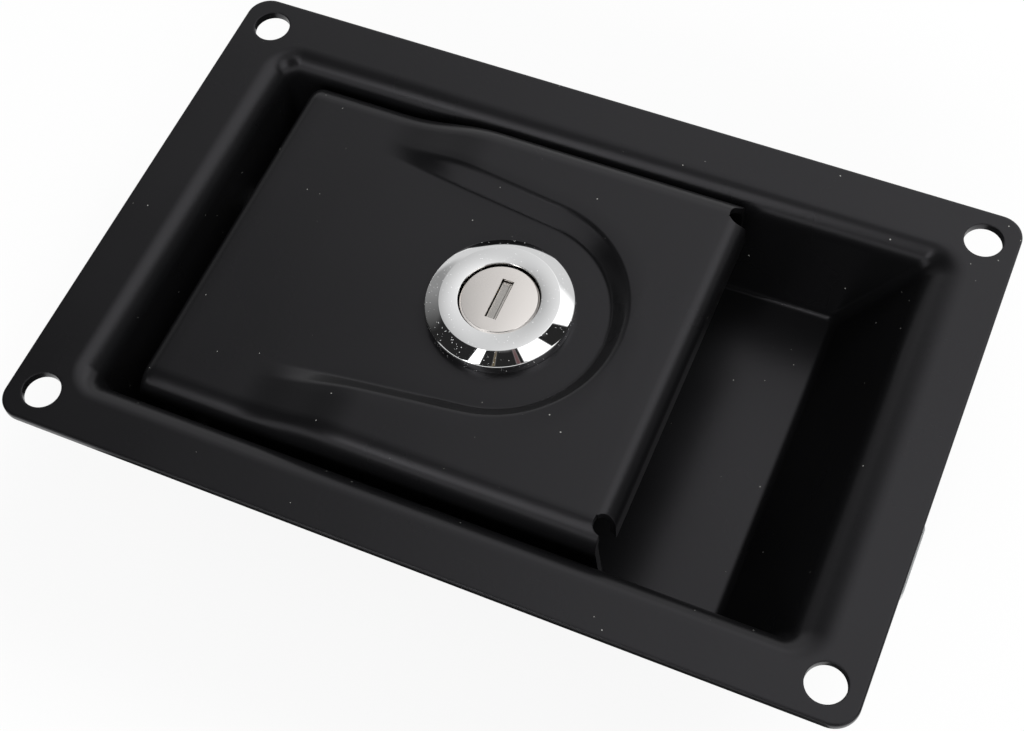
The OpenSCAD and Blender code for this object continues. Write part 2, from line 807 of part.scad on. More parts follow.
// Turning plug with its keyway, wafer slots and square tail
module lock_plug() {
    face_z = bezel_top - seat_play;
    screw_r = cam_screw_d / 2;
    screw_depth = cam_t + 1.6;
    color(nickel)
    translate([lock_x, lock_y, 0])
        difference() {
            union() {
                translate([0, 0, plug_end]) cylinder(d = plug_d, h = face_z - plug_end);
                translate([-square_w / 2, -square_w / 2, cam_back + 0.2])
                    cube([square_w, square_w, plug_end - cam_back]);
            }
            translate([-key_w / 2, -key_l / 2, face_z - key_depth])
                cube([key_w, key_l, key_depth + cut]);
            for (i = [0:wafer_count - 1])
                translate([0, 0, wafer_top - i * wafer_pitch])
                    cube([wafer_w + 2 * wafer_play, wafer_l + 2 * wafer_play,
                        wafer_t + 2 * wafer_play], center = true);
            translate([0, 0, cam_back - cut]) cylinder(r = screw_r, h = screw_depth + cut);
        }
}

// Brass wafers that the key lines up
module wafers() {
    window_w = key_w + 0.2;
    window_l = key_l - 0.9;
    color(brass)
    for (i = [0:wafer_count - 1])
        translate([lock_x, lock_y, wafer_top - i * wafer_pitch])
            difference() {
                cube([wafer_w, wafer_l, wafer_t], center = true);
                cube([window_w, window_l, 2 * wafer_t], center = true);
            }
}

// Flap behind the keyway's mouth, with its pivot rolled along one long side
module dust_shutter() {
    play = 0.15;
    pivot_d = 0.6;
    leaf = key_w - 2 * play - pivot_d / 2;
    leaf_l = key_l - 2 * play;
    color(spring_steel)
    translate([lock_x - key_w / 2 + play, lock_y - leaf_l / 2,
            bezel_top - seat_play - shutter_depth - shutter_t / 2]) {
        translate([0, 0, -shutter_t / 2]) cube([leaf, leaf_l, shutter_t]);
        translate([leaf, 0, 0]) rotate([-90, 0, 0]) cylinder(d = pivot_d, h = leaf_l);
    }
}

module lock_washer() {
    color(zinc)
    translate([lock_x, lock_y, low_back - lock_washer_t])
        ring(barrel_d + 2 * seat_play, nut_w + 2, lock_washer_t);
}

// Hexagon nut that clamps the lock in its seat
module lock_nut() {
    color(zinc)
    translate([lock_x, lock_y, low_back - lock_washer_t - nut_t])
        difference() {
            cylinder(d = nut_w / cos(30), h = nut_t, $fn = 6);
            translate([0, 0, -cut]) cylinder(d = barrel_d + 2 * seat_play, h = nut_t + 2 * cut);
        }
}

// Stamped cam on the plug's square tail
module lock_cam() {
    hole = square_w + 2 * pin_play;
    color(zinc)
    translate([lock_x, lock_y, cam_back])
        difference() {
            linear_extrude(cam_t) link([0, 0], cam_hub_r, [cam_tip_r - cam_reach, 0], cam_tip_r);
            translate([-hole / 2, -hole / 2, -cut]) cube([hole, hole, cam_t + 2 * cut]);
        }
}

module cam_washer() {
    color(zinc)
    translate([lock_x, lock_y, cam_back - cam_washer_t])
        ring(cam_screw_d + 2 * pin_play, cam_washer_d, cam_washer_t);
}

module cam_screw() {
    shank = cam_t + cam_washer_t + 1.2;
    head_t = 1.6;
    cross_l = 1.1 * cam_screw_d;
    cross_w = cam_screw_d / 4;
    color(zinc)
    translate([lock_x, lock_y, cam_back - cam_washer_t]) {
        cylinder(d = cam_screw_d - 2 * pin_play, h = shank);
        difference() {
            translate([0, 0, -head_t]) cylinder(d = 2 * cam_screw_d, h = head_t);
            for (a = [0, 90])
                rotate(a) translate([-cross_l / 2, -cross_w / 2, -head_t - cut])
                    cube([cross_l, cross_w, head_t / 2 + cut]);
        }
    }
}

// Hook on the pan's floor; the turned cam goes under it
module cam_keeper() {
    leg_z = plug_end + keeper_play;
    rise = leg_z + bracket_t - floor_top;
    color(zinc)
    difference() {
        translate([lock_x - keeper_w / 2, keeper_y, floor_top]) {
            cube([keeper_w, bracket_t + keeper_foot, bracket_t]);
            cube([keeper_w, bracket_t, rise]);
            translate([0, bracket_t - keeper_leg, rise - bracket_t])
                cube([keeper_w, keeper_leg, bracket_t]);
        }
        for (p = keeper_rivet_places)
            translate([p.x, p.y, floor_top - cut])
                cylinder(r = rivet_d / 2 + pin_play, h = bracket_t + 2 * cut);
    }
}

module keeper_rivets() {
    color(zinc)
    for (p = keeper_rivet_places)
        translate([p.x, p.y, floor_top + bracket_t]) rivet(rivet_d, sheet + bracket_t, 0);
}

pan();
paddle();
pivot_pin();
pin_clip();
return_spring();
drive_arm();
bell_crank();
crank_washer();
crank_rivet();
crank_pin();
bolt();
bolt_guide();
spring_bracket();
bracket_rivets();
bolt_spring();
lock_housing();
lock_plug();
wafers();
dust_shutter();
lock_washer();
lock_nut();
lock_cam();
cam_washer();
cam_screw();
cam_keeper();
keeper_rivets();
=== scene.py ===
import math

import bmesh
import bpy
from mathutils import Matrix, Vector
from mathutils.geometry import delaunay_2d_cdt


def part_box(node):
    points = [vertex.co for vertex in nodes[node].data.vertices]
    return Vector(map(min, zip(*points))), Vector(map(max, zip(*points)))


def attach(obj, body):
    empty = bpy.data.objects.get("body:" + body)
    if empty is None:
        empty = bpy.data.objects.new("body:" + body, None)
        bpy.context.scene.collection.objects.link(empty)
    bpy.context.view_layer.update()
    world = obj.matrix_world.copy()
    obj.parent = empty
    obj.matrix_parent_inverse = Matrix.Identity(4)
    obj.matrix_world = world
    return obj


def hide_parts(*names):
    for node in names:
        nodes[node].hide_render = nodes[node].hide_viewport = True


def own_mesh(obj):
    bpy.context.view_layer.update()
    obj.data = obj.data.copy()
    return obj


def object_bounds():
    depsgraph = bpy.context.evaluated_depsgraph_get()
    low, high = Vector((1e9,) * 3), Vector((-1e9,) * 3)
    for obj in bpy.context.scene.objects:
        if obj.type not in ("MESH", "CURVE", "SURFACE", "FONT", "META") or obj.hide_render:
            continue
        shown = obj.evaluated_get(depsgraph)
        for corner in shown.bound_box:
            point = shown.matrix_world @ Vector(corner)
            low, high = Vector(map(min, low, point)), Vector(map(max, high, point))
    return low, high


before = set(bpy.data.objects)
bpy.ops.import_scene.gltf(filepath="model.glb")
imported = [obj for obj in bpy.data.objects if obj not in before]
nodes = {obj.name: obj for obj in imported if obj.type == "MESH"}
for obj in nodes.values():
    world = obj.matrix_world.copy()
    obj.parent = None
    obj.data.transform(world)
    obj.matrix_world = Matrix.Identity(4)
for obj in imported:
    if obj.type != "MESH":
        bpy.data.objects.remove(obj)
cad_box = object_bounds()

# Pan with its mounting plate: one blank of mild steel, drawn into a shallow box with a sloping
# finger pocket, pierced, and then powder coated black all over.
MM = 0.001


def linear(hex_colour):
    """Linear RGBA of an sRGB hex colour."""
    parts = [int(hex_colour[i:i + 2], 16) / 255 for i in (1, 3, 5)]
    return [c / 12.92 if c <= 0.04045 else ((c + 0.055) / 1.055) ** 2.4 for c in parts] + [1.0]


def add(tree, kind, settings=None, inputs=None):
    """A node of a tree with its settings, and its inputs set to values or linked to sockets."""
    node = tree.nodes.new(kind)
    for name, value in (settings or {}).items():
        setattr(node, name, value)
    for name, value in (inputs or {}).items():
        socket = node.inputs[name]
        if isinstance(value, bpy.types.NodeSocket):
            tree.links.new(value, socket)
        else:
            socket.default_value = value
    return node


def new_material(name):
    """A material with an empty tree, its Principled shader and its Object coordinates."""
    material = bpy.data.materials.new(name)
    material.use_nodes = True
    tree = material.node_tree
    tree.nodes.clear()
    shader = add(tree, "ShaderNodeBsdfPrincipled")
    add(tree, "ShaderNodeOutputMaterial", inputs={"Surface": shader.outputs["BSDF"]})
    place = add(tree, "ShaderNodeTexCoord").outputs["Object"]
    return material, tree, shader, place


def dust_specks(tree, place, cell_mm, left_out, largest):
    """1 on round grains of dust: one grain at most in each cell of a pattern, and none in a share of the
    cells. The largest grain's radius is a share of the cell."""
    cells = add(tree, "ShaderNodeTexVoronoi", inputs={"Vector": place, "Scale": 1 / (cell_mm * MM)})
    luck = add(tree, "ShaderNodeSeparateColor", inputs={"Color": cells.outputs["Color"]})
    kept = add(tree, "ShaderNodeMath", {"operation": "GREATER_THAN"}, {0: luck.outputs["Red"], 1: left_out})
    size = add(tree, "ShaderNodeMath", {"operation": "MULTIPLY"}, {0: luck.outputs["Green"], 1: largest})
    near = add(tree, "ShaderNodeMath", {"operation": "LESS_THAN"}, {
        0: cells.outputs["Distance"], 1: size.outputs[0]})
    return add(tree, "ShaderNodeMath", {"operation": "MULTIPLY"}, {
        0: near.outputs[0], 1: kept.outputs[0]}).outputs[0]


def powder_coat():
    """Black polyester powder coat, cured to a satin skin: very dark, with a low even sheen, a faint
    orange peel about a millimetre across, and a few specks of pale dust lying on it."""
    material, tree, shader, place = new_material("black_satin_powder_coat")
    peel_mm, grain_mm, speck_mm, cloud_mm, edge_mm = 0.9, 0.16, 2.2, 28, 0.2
    cloud = add(tree, "ShaderNodeTexNoise", inputs={
        "Vector": place, "Scale": 1 / (cloud_mm * MM), "Detail": 3.0})
    grain = add(tree, "ShaderNodeTexNoise", inputs={
        "Vector": place, "Scale": 1 / (grain_mm * MM), "Detail": 2.0})
    peel = add(tree, "ShaderNodeTexNoise", inputs={
        "Vector": place, "Scale": 1 / (peel_mm * MM), "Detail": 2.0})
    coat = add(tree, "ShaderNodeMix", {"data_type": "RGBA"}, {
        "Factor": cloud.outputs["Fac"], "A": linear("#0c0c0d"), "B": linear("#121213")})
    dusty = add(tree, "ShaderNodeMix", {"data_type": "RGBA"}, {
        "Factor": dust_specks(tree, place, speck_mm, 0.55, 0.06),
        "A": coat.outputs["Result"], "B": linear("#9c9c98")})
    tree.links.new(dusty.outputs["Result"], shader.inputs["Base Color"])

    rough = add(tree, "ShaderNodeMapRange", inputs={
        "Value": cloud.outputs["Fac"], "From Min": 0.3, "From Max": 0.7, "To Min": 0.26, "To Max": 0.31})
    tree.links.new(rough.outputs["Result"], shader.inputs["Roughness"])
    shader.inputs["Specular IOR Level"].default_value = 0.39
    shader.inputs["Specular Tint"].default_value = linear("#faf8ff")
    skin = add(tree, "ShaderNodeMath", {"operation": "MULTIPLY_ADD"}, {
        0: grain.outputs["Fac"], 1: 0.12, 2: peel.outputs["Fac"]})
    # The coat draws back from cut edges and leaves them slightly round
    edge = add(tree, "ShaderNodeBevel", {"samples": 4}, {"Radius": edge_mm * MM})
    bump = add(tree, "ShaderNodeBump", inputs={
        "Height": skin.outputs[0], "Strength": 0.25, "Distance": 0.03 * MM,
        "Normal": edge.outputs["Normal"]})
    tree.links.new(bump.outputs["Normal"], shader.inputs["Normal"])
    return material


black = powder_coat()

pan_low, pan_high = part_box("pan")
plate_half_l, plate_half_w = pan_high.x / MM, pan_high.y / MM
sheet, plate_r, edge_r, flat_band = 1.5, 4.0, 0.3, 0.25
hole_r, hole_edge_r, hole_inset = 3.12, 0.12, 5.7
mouth_left, mouth_right = -58.0, 59.0
mouth_front, mouth_back = -34.6, 33.5
pan_r, lip_r, floor_r, wall_draft = 2.0, 4.0, 1.0, 0.9
slope = math.radians(60)
floor_back = pan_low.z / MM
floor_top = floor_back + sheet
CORNER_STEPS, LIP_STEPS, HOLE_STEPS, FILLET_STEPS = 14, 12, 48, 5


def rounded_ring(left, right, front, back, r, z):
    """Points of a rounded rectangle, anticlockwise."""
    points = []
    for corner in range(4):
        cx = right - r if corner in (0, 3) else left + r
        cy = back - r if corner < 2 else front + r
        for i in range(CORNER_STEPS + 1):
            a = math.pi / 2 * (corner + i / CORNER_STEPS)
            points.append((cx + r * math.cos(a), cy + r * math.sin(a), z))
    return points


def pan_levels(grow, top, lip, foot, bottom):
    """Rings of the pan's inside, or of its outside where grow is the sheet's thickness."""
    bend = 1 - math.cos(slope)
    draft = wall_draft / -floor_top

    def level(z, side, pocket):
        out = grow + draft * z + side
        return rounded_ring(
            mouth_left - out,
            mouth_right + grow / math.sin(slope) + z / math.tan(slope) + pocket,
            mouth_front - out, mouth_back + out,
            pan_r + grow + side, z)

    rings = []
    for i in range(LIP_STEPS + 1):
        a = math.pi / 2 * i / LIP_STEPS
        b = math.acos(1 - bend * (1 - math.cos(a)))
        drop = lip * (1 - math.cos(a))
        pocket = lip / bend * (math.sin(slope) - math.sin(b)) - (lip - drop) / math.tan(slope)
        rings.append(level(top - drop, lip * (1 - math.sin(a)), pocket))
    for i in range(LIP_STEPS, -1, -1):
        a = math.pi / 2 * i / LIP_STEPS
        b = math.acos(1 - bend * (1 - math.cos(a)))
        rise = foot * (1 - math.cos(a))
        pocket = (foot - rise) / math.tan(slope) - foot / bend * (math.sin(slope) - math.sin(b))
        rings.append(level(bottom + rise, -foot * (1 - math.sin(a)), pocket))
    return rings


def grown(ring, corner_r, step, z):
    """A ring with that corner radius moved outwards by a step on the flat, at another height."""
    xs, ys = [p[0] for p in ring], [p[1] for p in ring]
    return rounded_ring(min(xs) - step, max(xs) + step, min(ys) - step, max(ys) + step, corner_r + step, z)


def slot_ring(x, y, half_run, r, z):
    """Points of a round hole, or of a slot along X with a half run of its straight part."""
    points = []
    for i in range(HOLE_STEPS):
        a = 2 * math.pi * (i + 0.5) / HOLE_STEPS
        points.append((x + math.copysign(half_run, math.cos(a)) + r * math.cos(a), y + r * math.sin(a), z))
    return points


def edge_rings(ring_at, top, bottom, r):
    """Rings round a sheet's cut edge, over its rounded upper rim and down to the lower one. ring_at gives
    the ring at a distance from the cut, counted into the sheet, and a height."""
    rings = [ring_at(r + flat_band, top)]
    steps = 4
    for i in range(steps + 1):
        a = math.pi / 2 * i / steps
        rings.append(ring_at(r * (1 - math.sin(a)), top - r * (1 - math.cos(a))))
    for i in range(steps, -1, -1):
        a = math.pi / 2 * i / steps
        rings.append(ring_at(r * (1 - math.sin(a)), bottom + r * (1 - math.cos(a))))
    rings.append(ring_at(r + flat_band, bottom))
    return rings


def bridge(bm, rings):
    """Joins closed rings of equal count by rows of quads and returns the rings' vertices."""
    rows = [[bm.verts.new(Vector(p) * MM) for p in ring] for ring in rings]
    count = len(rows[0])
    for low, high in zip(rows, rows[1:]):
        for i in range(count):
            j = (i + 1) % count
            bm.faces.new((low[i], low[j], high[j], high[i]))
    return rows


def encloses(loop, x, y):
    """Whether a loop of vertices runs round a point."""
    inside = False
    for a, b in zip(loop, loop[1:] + loop[:1]):
        if (a.co.y > y) != (b.co.y > y):
            share = (y - a.co.y) / (b.co.y - a.co.y)
            if x < a.co.x + (b.co.x - a.co.x) * share:
                inside = not inside
    return inside


def fill_flat(bm, loops):
    """Fills a flat region between an outline and the holes in it with triangles that don't overlap."""
    verts, sides = [], []
    for loop in loops:
        first = len(verts)
        verts += loop
        sides += [(first + i, first + (i + 1) % len(loop)) for i in range(len(loop))]
    whole_hull, nearest = 0, 1e-7
    _, _, triangles, sources, _, _ = delaunay_2d_cdt(
        [vert.co.xy for vert in verts], sides, [], whole_hull, nearest)
    for triangle in triangles:
        corners = [verts[sources[i][0]] for i in triangle]
        x, y = (sum(vert.co[axis] for vert in corners) / 3 for axis in (0, 1))
        if [encloses(loop, x, y) for loop in loops].count(True) == 1:
            bm.faces.new(corners)


def mark_creases(bm, smooth_angle):
    """Shades a bmesh smooth, apart from its edges that bend more than an angle."""
    limit = math.radians(smooth_angle)
    for face in bm.faces:
        face.smooth = True
    for edge in bm.edges:
        edge.smooth = len(edge.link_faces) == 2 and edge.calc_face_angle(0) < limit


def finish_mesh(name, bm, material, smooth_angle=35):
    """A smooth-shaded object from a bmesh, with its faces outwards and its sharp edges kept."""
    bmesh.ops.remove_doubles(bm, verts=bm.verts[:], dist=1e-7)
    bmesh.ops.recalc_face_normals(bm, faces=bm.faces[:])
    mark_creases(bm, smooth_angle)
    mesh = bpy.data.meshes.new(name)
    bm.to_mesh(mesh)
    bm.free()
    mesh.materials.append(material)
    piece = bpy.data.objects.new(name, mesh)
    bpy.context.scene.collection.objects.link(piece)
    return piece


def cut_away(piece, cutters, smooth_angle=35):
    """Cuts closed bmeshes out of a piece, and leaves a plain mesh."""
    for bm in cutters:
        tool = finish_mesh("cutter", bm, black)
        modifier = piece.modifiers.new("cut", "BOOLEAN")
        modifier.operation = "DIFFERENCE"
        modifier.solver = "EXACT"
        modifier.object = tool
        depsgraph = bpy.context.evaluated_depsgraph_get()
        cut_mesh = bpy.data.meshes.new_from_object(piece.evaluated_get(depsgraph))
        piece.modifiers.clear()
        piece.data = cut_mesh
        bpy.data.objects.remove(tool)
    bm = bmesh.new()
    bm.from_mesh(piece.data)
    mark_creases(bm, smooth_angle)
    bm.to_mesh(piece.data)
    bm.free()
    piece.data.name = piece.name


def rod(start, end, r):
    """A closed cylinder between two points, in millimetres."""
    start, end = Vector(start), Vector(end)
    turn = (end - start).to_track_quat("Z", "Y").to_matrix()
    bm = bmesh.new()
    rings = []
    for middle in (start, end):
        rings.append([middle + turn @ Vector((r * math.cos(a), r * math.sin(a), 0))
                      for a in [2 * math.pi * i / HOLE_STEPS for i in range(HOLE_STEPS)]])
    rows = bridge(bm, rings)
    bm.faces.new(rows[0][::-1])
    bm.faces.new(rows[1])
    return bm


bm = bmesh.new()
inside = pan_levels(0, 0, lip_r, floor_r, floor_top)
outside = pan_levels(sheet, -sheet, lip_r - sheet, floor_r + sheet, floor_back)
inside.insert(0, grown(inside[0], pan_r + lip_r, flat_band, 0))
outside.insert(0, grown(outside[0], pan_r + lip_r, flat_band, -sheet))
inside.append(grown(inside[-1], pan_r - floor_r, -flat_band, floor_top))
outside.append(grown(outside[-1], pan_r - floor_r, -flat_band, floor_back))
inner_rows = bridge(bm, inside)
outer_rows = bridge(bm, outside)
rim_rows = bridge(bm, edge_rings(
    lambda step, z: rounded_ring(step - plate_half_l, plate_half_l - step, step - plate_half_w,
                                 plate_half_w - step, plate_r - step, z), 0, -sheet, edge_r))
hole_rows = [
    bridge(bm, edge_rings(
        lambda step, z: slot_ring(sx * (plate_half_l - hole_inset), sy * (plate_half_w - hole_inset), 0,
                                  hole_r + step, z), 0, -sheet, hole_edge_r))
    for sx in (-1, 1) for sy in (-1, 1)]
fill_flat(bm, [rim_rows[0], inner_rows[0]] + [rows[0] for rows in hole_rows])
fill_flat(bm, [rim_rows[-1], outer_rows[0]] + [rows[-1] for rows in hole_rows])


def centre(node_name):
    """Middle of a CAD node's box, in millimetres."""
    low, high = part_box(node_name)
    return (low + high) / 2 / MM


# The drive arm's slot and the rivet holes in the floor
pin_x, _, pin_z = centre("pivot_pin")
arm_slot_half, arm_slot_r = 7.83, 2.5
rivet_hole_r, floor_edge_r = 2.05, 0.1
floor_holes = [(pin_x, centre("drive_arm").y, arm_slot_half, arm_slot_r)]
rivet_head_r = 3.5


def rivet_places(node_name):
    """Middles of a node's rivets: one along a short side of its box, and one at each end of a long side."""
    sides = []
    for low, high in zip(*(corner.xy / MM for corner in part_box(node_name))):
        single = high - low < 3 * rivet_head_r
        sides.append([(low + high) / 2] if single else [low + rivet_head_r, high - rivet_head_r])
    return [(x, y) for x in sides[0] for y in sides[1]]


for node_name in ("crank_rivet", "bracket_rivets", "keeper_rivets"):
    floor_holes += [(x, y, 0, rivet_hole_r) for x, y in rivet_places(node_name)]
floor_rows = [
    bridge(bm, edge_rings(
        lambda step, z: slot_ring(x, y, half_run, r + step, z), floor_top, floor_back, floor_edge_r))
    for x, y, half_run, r in floor_holes]
fill_flat(bm, [inner_rows[-1]] + [rows[0] for rows in floor_rows])
fill_flat(bm, [outer_rows[-1]] + [rows[-1] for rows in floor_rows])
pan = finish_mesh("pressed_pan", bm, black)
pin_hole_r = 2.55
cut_away(pan, [rod((pin_x, -plate_half_w, pin_z), (pin_x, plate_half_w, pin_z), pin_hole_r)])
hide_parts("pan")
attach(pan, "pan")

# Paddle: one folded blank of thin steel with a pressed seat for the lock, side flanges that carry
# the pivot and a rolled finger edge, powder coated like the pan.
paddle_min, paddle_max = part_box("paddle")
hinge_edge, paddle_half_w = paddle_min.x / MM, paddle_max.y / MM
paddle_high, flange_foot = paddle_max.z / MM, paddle_min.z / MM
paddle_low, paddle_t = 1.0, 1.2
ramp_x, ramp_l = hinge_edge + 16.0, 21.0
hinge_r, hinge_run = 2.5, 2.0
side_bend_r, side_lean = 4.0, 1.2
roll_r, roll_foot = 3.0, -4.0
roll_start = paddle_max.x / MM - roll_r
flange_end = roll_start + 1.4
seat_y, seat_r, seat_run, seat_spread = 0.3, 17.7, 3.4, math.radians(7)
foot_bend, brow_bend, seat_support = 0.14, 0.7, (0.25, 0.8)
lock_x, lock_y, _ = centre("lock_plug")
flat_half = paddle_half_w - side_bend_r
roll_half, relief_r = flat_half - 0.3, 1.7
relief_x, relief_y, relief_reach = roll_start + relief_r - 0.1, roll_half + 1, 6
SEAT_STEPS, BEND_STEPS, FLAT_STEPS, HINGE_STEPS, RAMP_STEPS = 16, 10, 3, 6, 28


def seat_distance(x, y):
    """Distance of a point of the paddle from the middle line of the lock seat."""
    dx, dy = x - lock_x, abs(y - seat_y)
    if dy * math.sin(seat_spread) > dx * math.cos(seat_spread):
        return dx * math.sin(seat_spread) + dy * math.cos(seat_spread)
    return math.hypot(dx, dy)


def seat_half(x, r):
    """Half width of the seat's outline of radius r at a place along the paddle."""
    dx = x - lock_x
    if dx < r * math.sin(seat_spread):
        return (r - dx * math.sin(seat_spread)) / math.cos(seat_spread)
    return math.sqrt(max(0, r * r - dx * dx))


def face_height(x, y):
    """Height of the paddle's face: low at the hinge and in the seat, high elsewhere."""
    along = min(1, max(0, (x - ramp_x) / ramp_l))
    across = min(1, max(0, (seat_distance(x, y) - seat_r) / seat_run))
    bent = max(0, hinge_edge + hinge_run - x)
    steep = 2 / (1 + brow_bend - foot_bend)
    if across < foot_bend:
        wall = steep / 2 * across * across / foot_bend
    elif across < brow_bend:
        wall = steep * (across - foot_bend / 2)
    else:
        wall = 1 - steep / 2 * (1 - across) ** 2 / (1 - brow_bend)
    step = (paddle_high + paddle_low) * along ** 3 * (10 - along * (15 - 6 * along)) * wall
    return step - paddle_low - hinge_r + math.sqrt(hinge_r * hinge_r - bent * bent)


def paddle_section(x):
    """The sheet's upper and lower faces across the paddle, from the back flange's foot to the front's."""
    bend_centre = face_height(x, paddle_half_w) - side_bend_r
    relief_bend = math.acos((relief_y - flat_half) / side_bend_r)
    bends = sorted([math.pi / 2 * i / BEND_STEPS for i in range(BEND_STEPS)] + [relief_bend])
    thin = 0.04
    outlines = [seat_r + seat_run * k / SEAT_STEPS for k in range(SEAT_STEPS, -1, -1)]
    outlines += [seat_r - inset for inset in seat_support]
    offsets = [
        min(max(seat_half(x, r), thin * (len(outlines) - k)), roll_half - seat_y - thin * (k + 1))
        for k, r in enumerate(outlines)]
    places = [seat_y + offset for offset in offsets] + [seat_y]
    places += [seat_y - offset for offset in offsets[::-1]]
    flats = [i / FLAT_STEPS for i in range(FLAT_STEPS)]
    back = [flat_half] + [roll_half + (places[0] - roll_half) * t for t in flats]
    front = [-flat_half] + [-roll_half + (places[-1] + roll_half) * t for t in flats]
    places = back + places + front[::-1]

    def bend(side, r):
        return [(x, side * (flat_half + r * math.cos(a)), bend_centre + r * math.sin(a)) for a in bends]

    upper = [(x, paddle_half_w - side_lean, flange_foot)] + bend(1, side_bend_r)
    upper += [(x, y, face_height(x, y)) for y in places]
    upper += bend(-1, side_bend_r)[::-1] + [(x, side_lean - paddle_half_w, flange_foot)]
    inner_r = side_bend_r - paddle_t
    lower = [(x, paddle_half_w - side_lean - paddle_t, flange_foot)] + bend(1, inner_r)
    lower += [(x, y, face_height(x, y) - paddle_t) for y in places]
    lower += bend(-1, inner_r)[::-1] + [(x, side_lean + paddle_t - paddle_half_w, flange_foot)]
    return upper, lower


# Sections stand close together where the sheet bends: at the hinge, up the ramp and round the seat
stations = {roll_start, roll_start - 2, roll_start - 4}
stations |= {hinge_edge + hinge_run * i / HINGE_STEPS for i in range(HINGE_STEPS + 1)}
flat_start = hinge_edge + hinge_run
stations |= {flat_start + (ramp_x - flat_start) * i / HINGE_STEPS for i in range(1, HINGE_STEPS)}
stations |= {ramp_x + ramp_l * i / RAMP_STEPS for i in range(RAMP_STEPS + 1)}
stations |= {lock_x + seat_r * math.cos(math.radians(a)) for a in range(3, 139, 3)}
stations |= {lock_x + seat_r + seat_run * k / SEAT_STEPS for k in range(SEAT_STEPS + 1)}
stations |= {lock_x + seat_r - inset for inset in seat_support}
stations = sorted(stations)
sections = [paddle_section(x) for x in stations]


def vertices(bm, points):
    """New vertices of a bmesh at points in millimetres."""
    return [bm.verts.new(Vector(p) * MM) for p in points]


def sheet_edge(bm, upper, lower):
    """Closes the edge of a bent sheet between its two faces."""
    for i in range(len(upper) - 1):
        bm.faces.new((upper[i], lower[i], lower[i + 1], upper[i + 1]))


def sheet_grid(bm, rows):
    """The faces and long edges of a bent sheet, from rows of (upper, lower) vertices."""
    for (upper, lower), (next_upper, next_lower) in zip(rows, rows[1:]):
        for i in range(len(upper) - 1):
            bm.faces.new((upper[i], upper[i + 1], next_upper[i + 1], next_upper[i]))
            bm.faces.new((lower[i], next_lower[i], next_lower[i + 1], lower[i + 1]))
        for i in (0, -1):
            bm.faces.new((upper[i], next_upper[i], next_lower[i], lower[i]))


bm = bmesh.new()
body_rows = [(vertices(bm, upper), vertices(bm, lower)) for upper, lower in sections]
sheet_grid(bm, body_rows)
sheet_edge(bm, *body_rows[0])

# The roll carries on from the middle of the last section, and the flanges run on beside it
last_upper, last_lower = body_rows[-1]
count = len(last_upper)
relief_at = next(i for i, p in enumerate(sections[-1][0]) if i and abs(p[1] - relief_y) < 1e-6)
roll_at = next(i for i, p in enumerate(sections[-1][0]) if abs(p[1] - roll_half) < 1e-6)
for first, last in ((relief_at, roll_at), (count - 1 - roll_at, count - 1 - relief_at)):
    sheet_edge(bm, last_upper[first:last + 1], last_lower[first:last + 1])
for first, last in ((0, relief_at), (count - 1 - relief_at, count - 1)):
    tab = [vertices(bm, side[first:last + 1]) for side in paddle_section(flange_end)]
    sheet_grid(bm, [(last_upper[first:last + 1], last_lower[first:last + 1]), tab])
    sheet_edge(bm, *tab)
roll_rows = [(last_upper[roll_at:count - roll_at], last_lower[roll_at:count - roll_at])]
roll_ys = [p[1] for p in sections[-1][0][roll_at:count - roll_at]]
ROLL_STEPS = 14
inner_r = roll_r - paddle_t
for i in range(1, ROLL_STEPS + 1):
    a = math.pi / 2 * i / ROLL_STEPS
    roll_rows.append(tuple(
        vertices(bm, [(roll_start + r * math.sin(a), y, paddle_high - roll_r + r * math.cos(a))
                      for y in roll_ys]) for r in (roll_r, inner_r)))
roll_rows.append(tuple(
    vertices(bm, [(roll_start + r, y, roll_foot) for y in roll_ys]) for r in (roll_r, inner_r)))
sheet_grid(bm, roll_rows)
sheet_edge(bm, *roll_rows[-1])
paddle = finish_mesh("folded_paddle", bm, black, smooth_angle=40)
barrel_hole_r, barrel_flat = 9.5, 8.2
barrel_hole = []
for i in range(HOLE_STEPS):
    a = 2 * math.pi * i / HOLE_STEPS
    across = max(-barrel_flat, min(barrel_flat, barrel_hole_r * math.cos(a)))
    barrel_hole.append((lock_x + across, lock_y + barrel_hole_r * math.sin(a)))


def prism(outline, bottom, top):
    """A closed upright prism over an outline, in millimetres."""
    bm = bmesh.new()
    rows = bridge(bm, [[(x, y, z) for x, y in outline] for z in (bottom, top)])
    bm.faces.new(rows[0][::-1])
    bm.faces.new(rows[1])
    return bm


cut_away(paddle, [
    rod((pin_x, -plate_half_w, pin_z), (pin_x, plate_half_w, pin_z), pin_hole_r),
    prism(barrel_hole, -paddle_low - 2 * paddle_t, paddle_high),
    rod((relief_x, relief_y, -relief_reach), (relief_x, relief_y, relief_reach), relief_r),
    rod((relief_x, -relief_y, -relief_reach), (relief_x, -relief_y, relief_reach), relief_r)],
    smooth_angle=40)
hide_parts("paddle")
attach(paddle, "paddle")


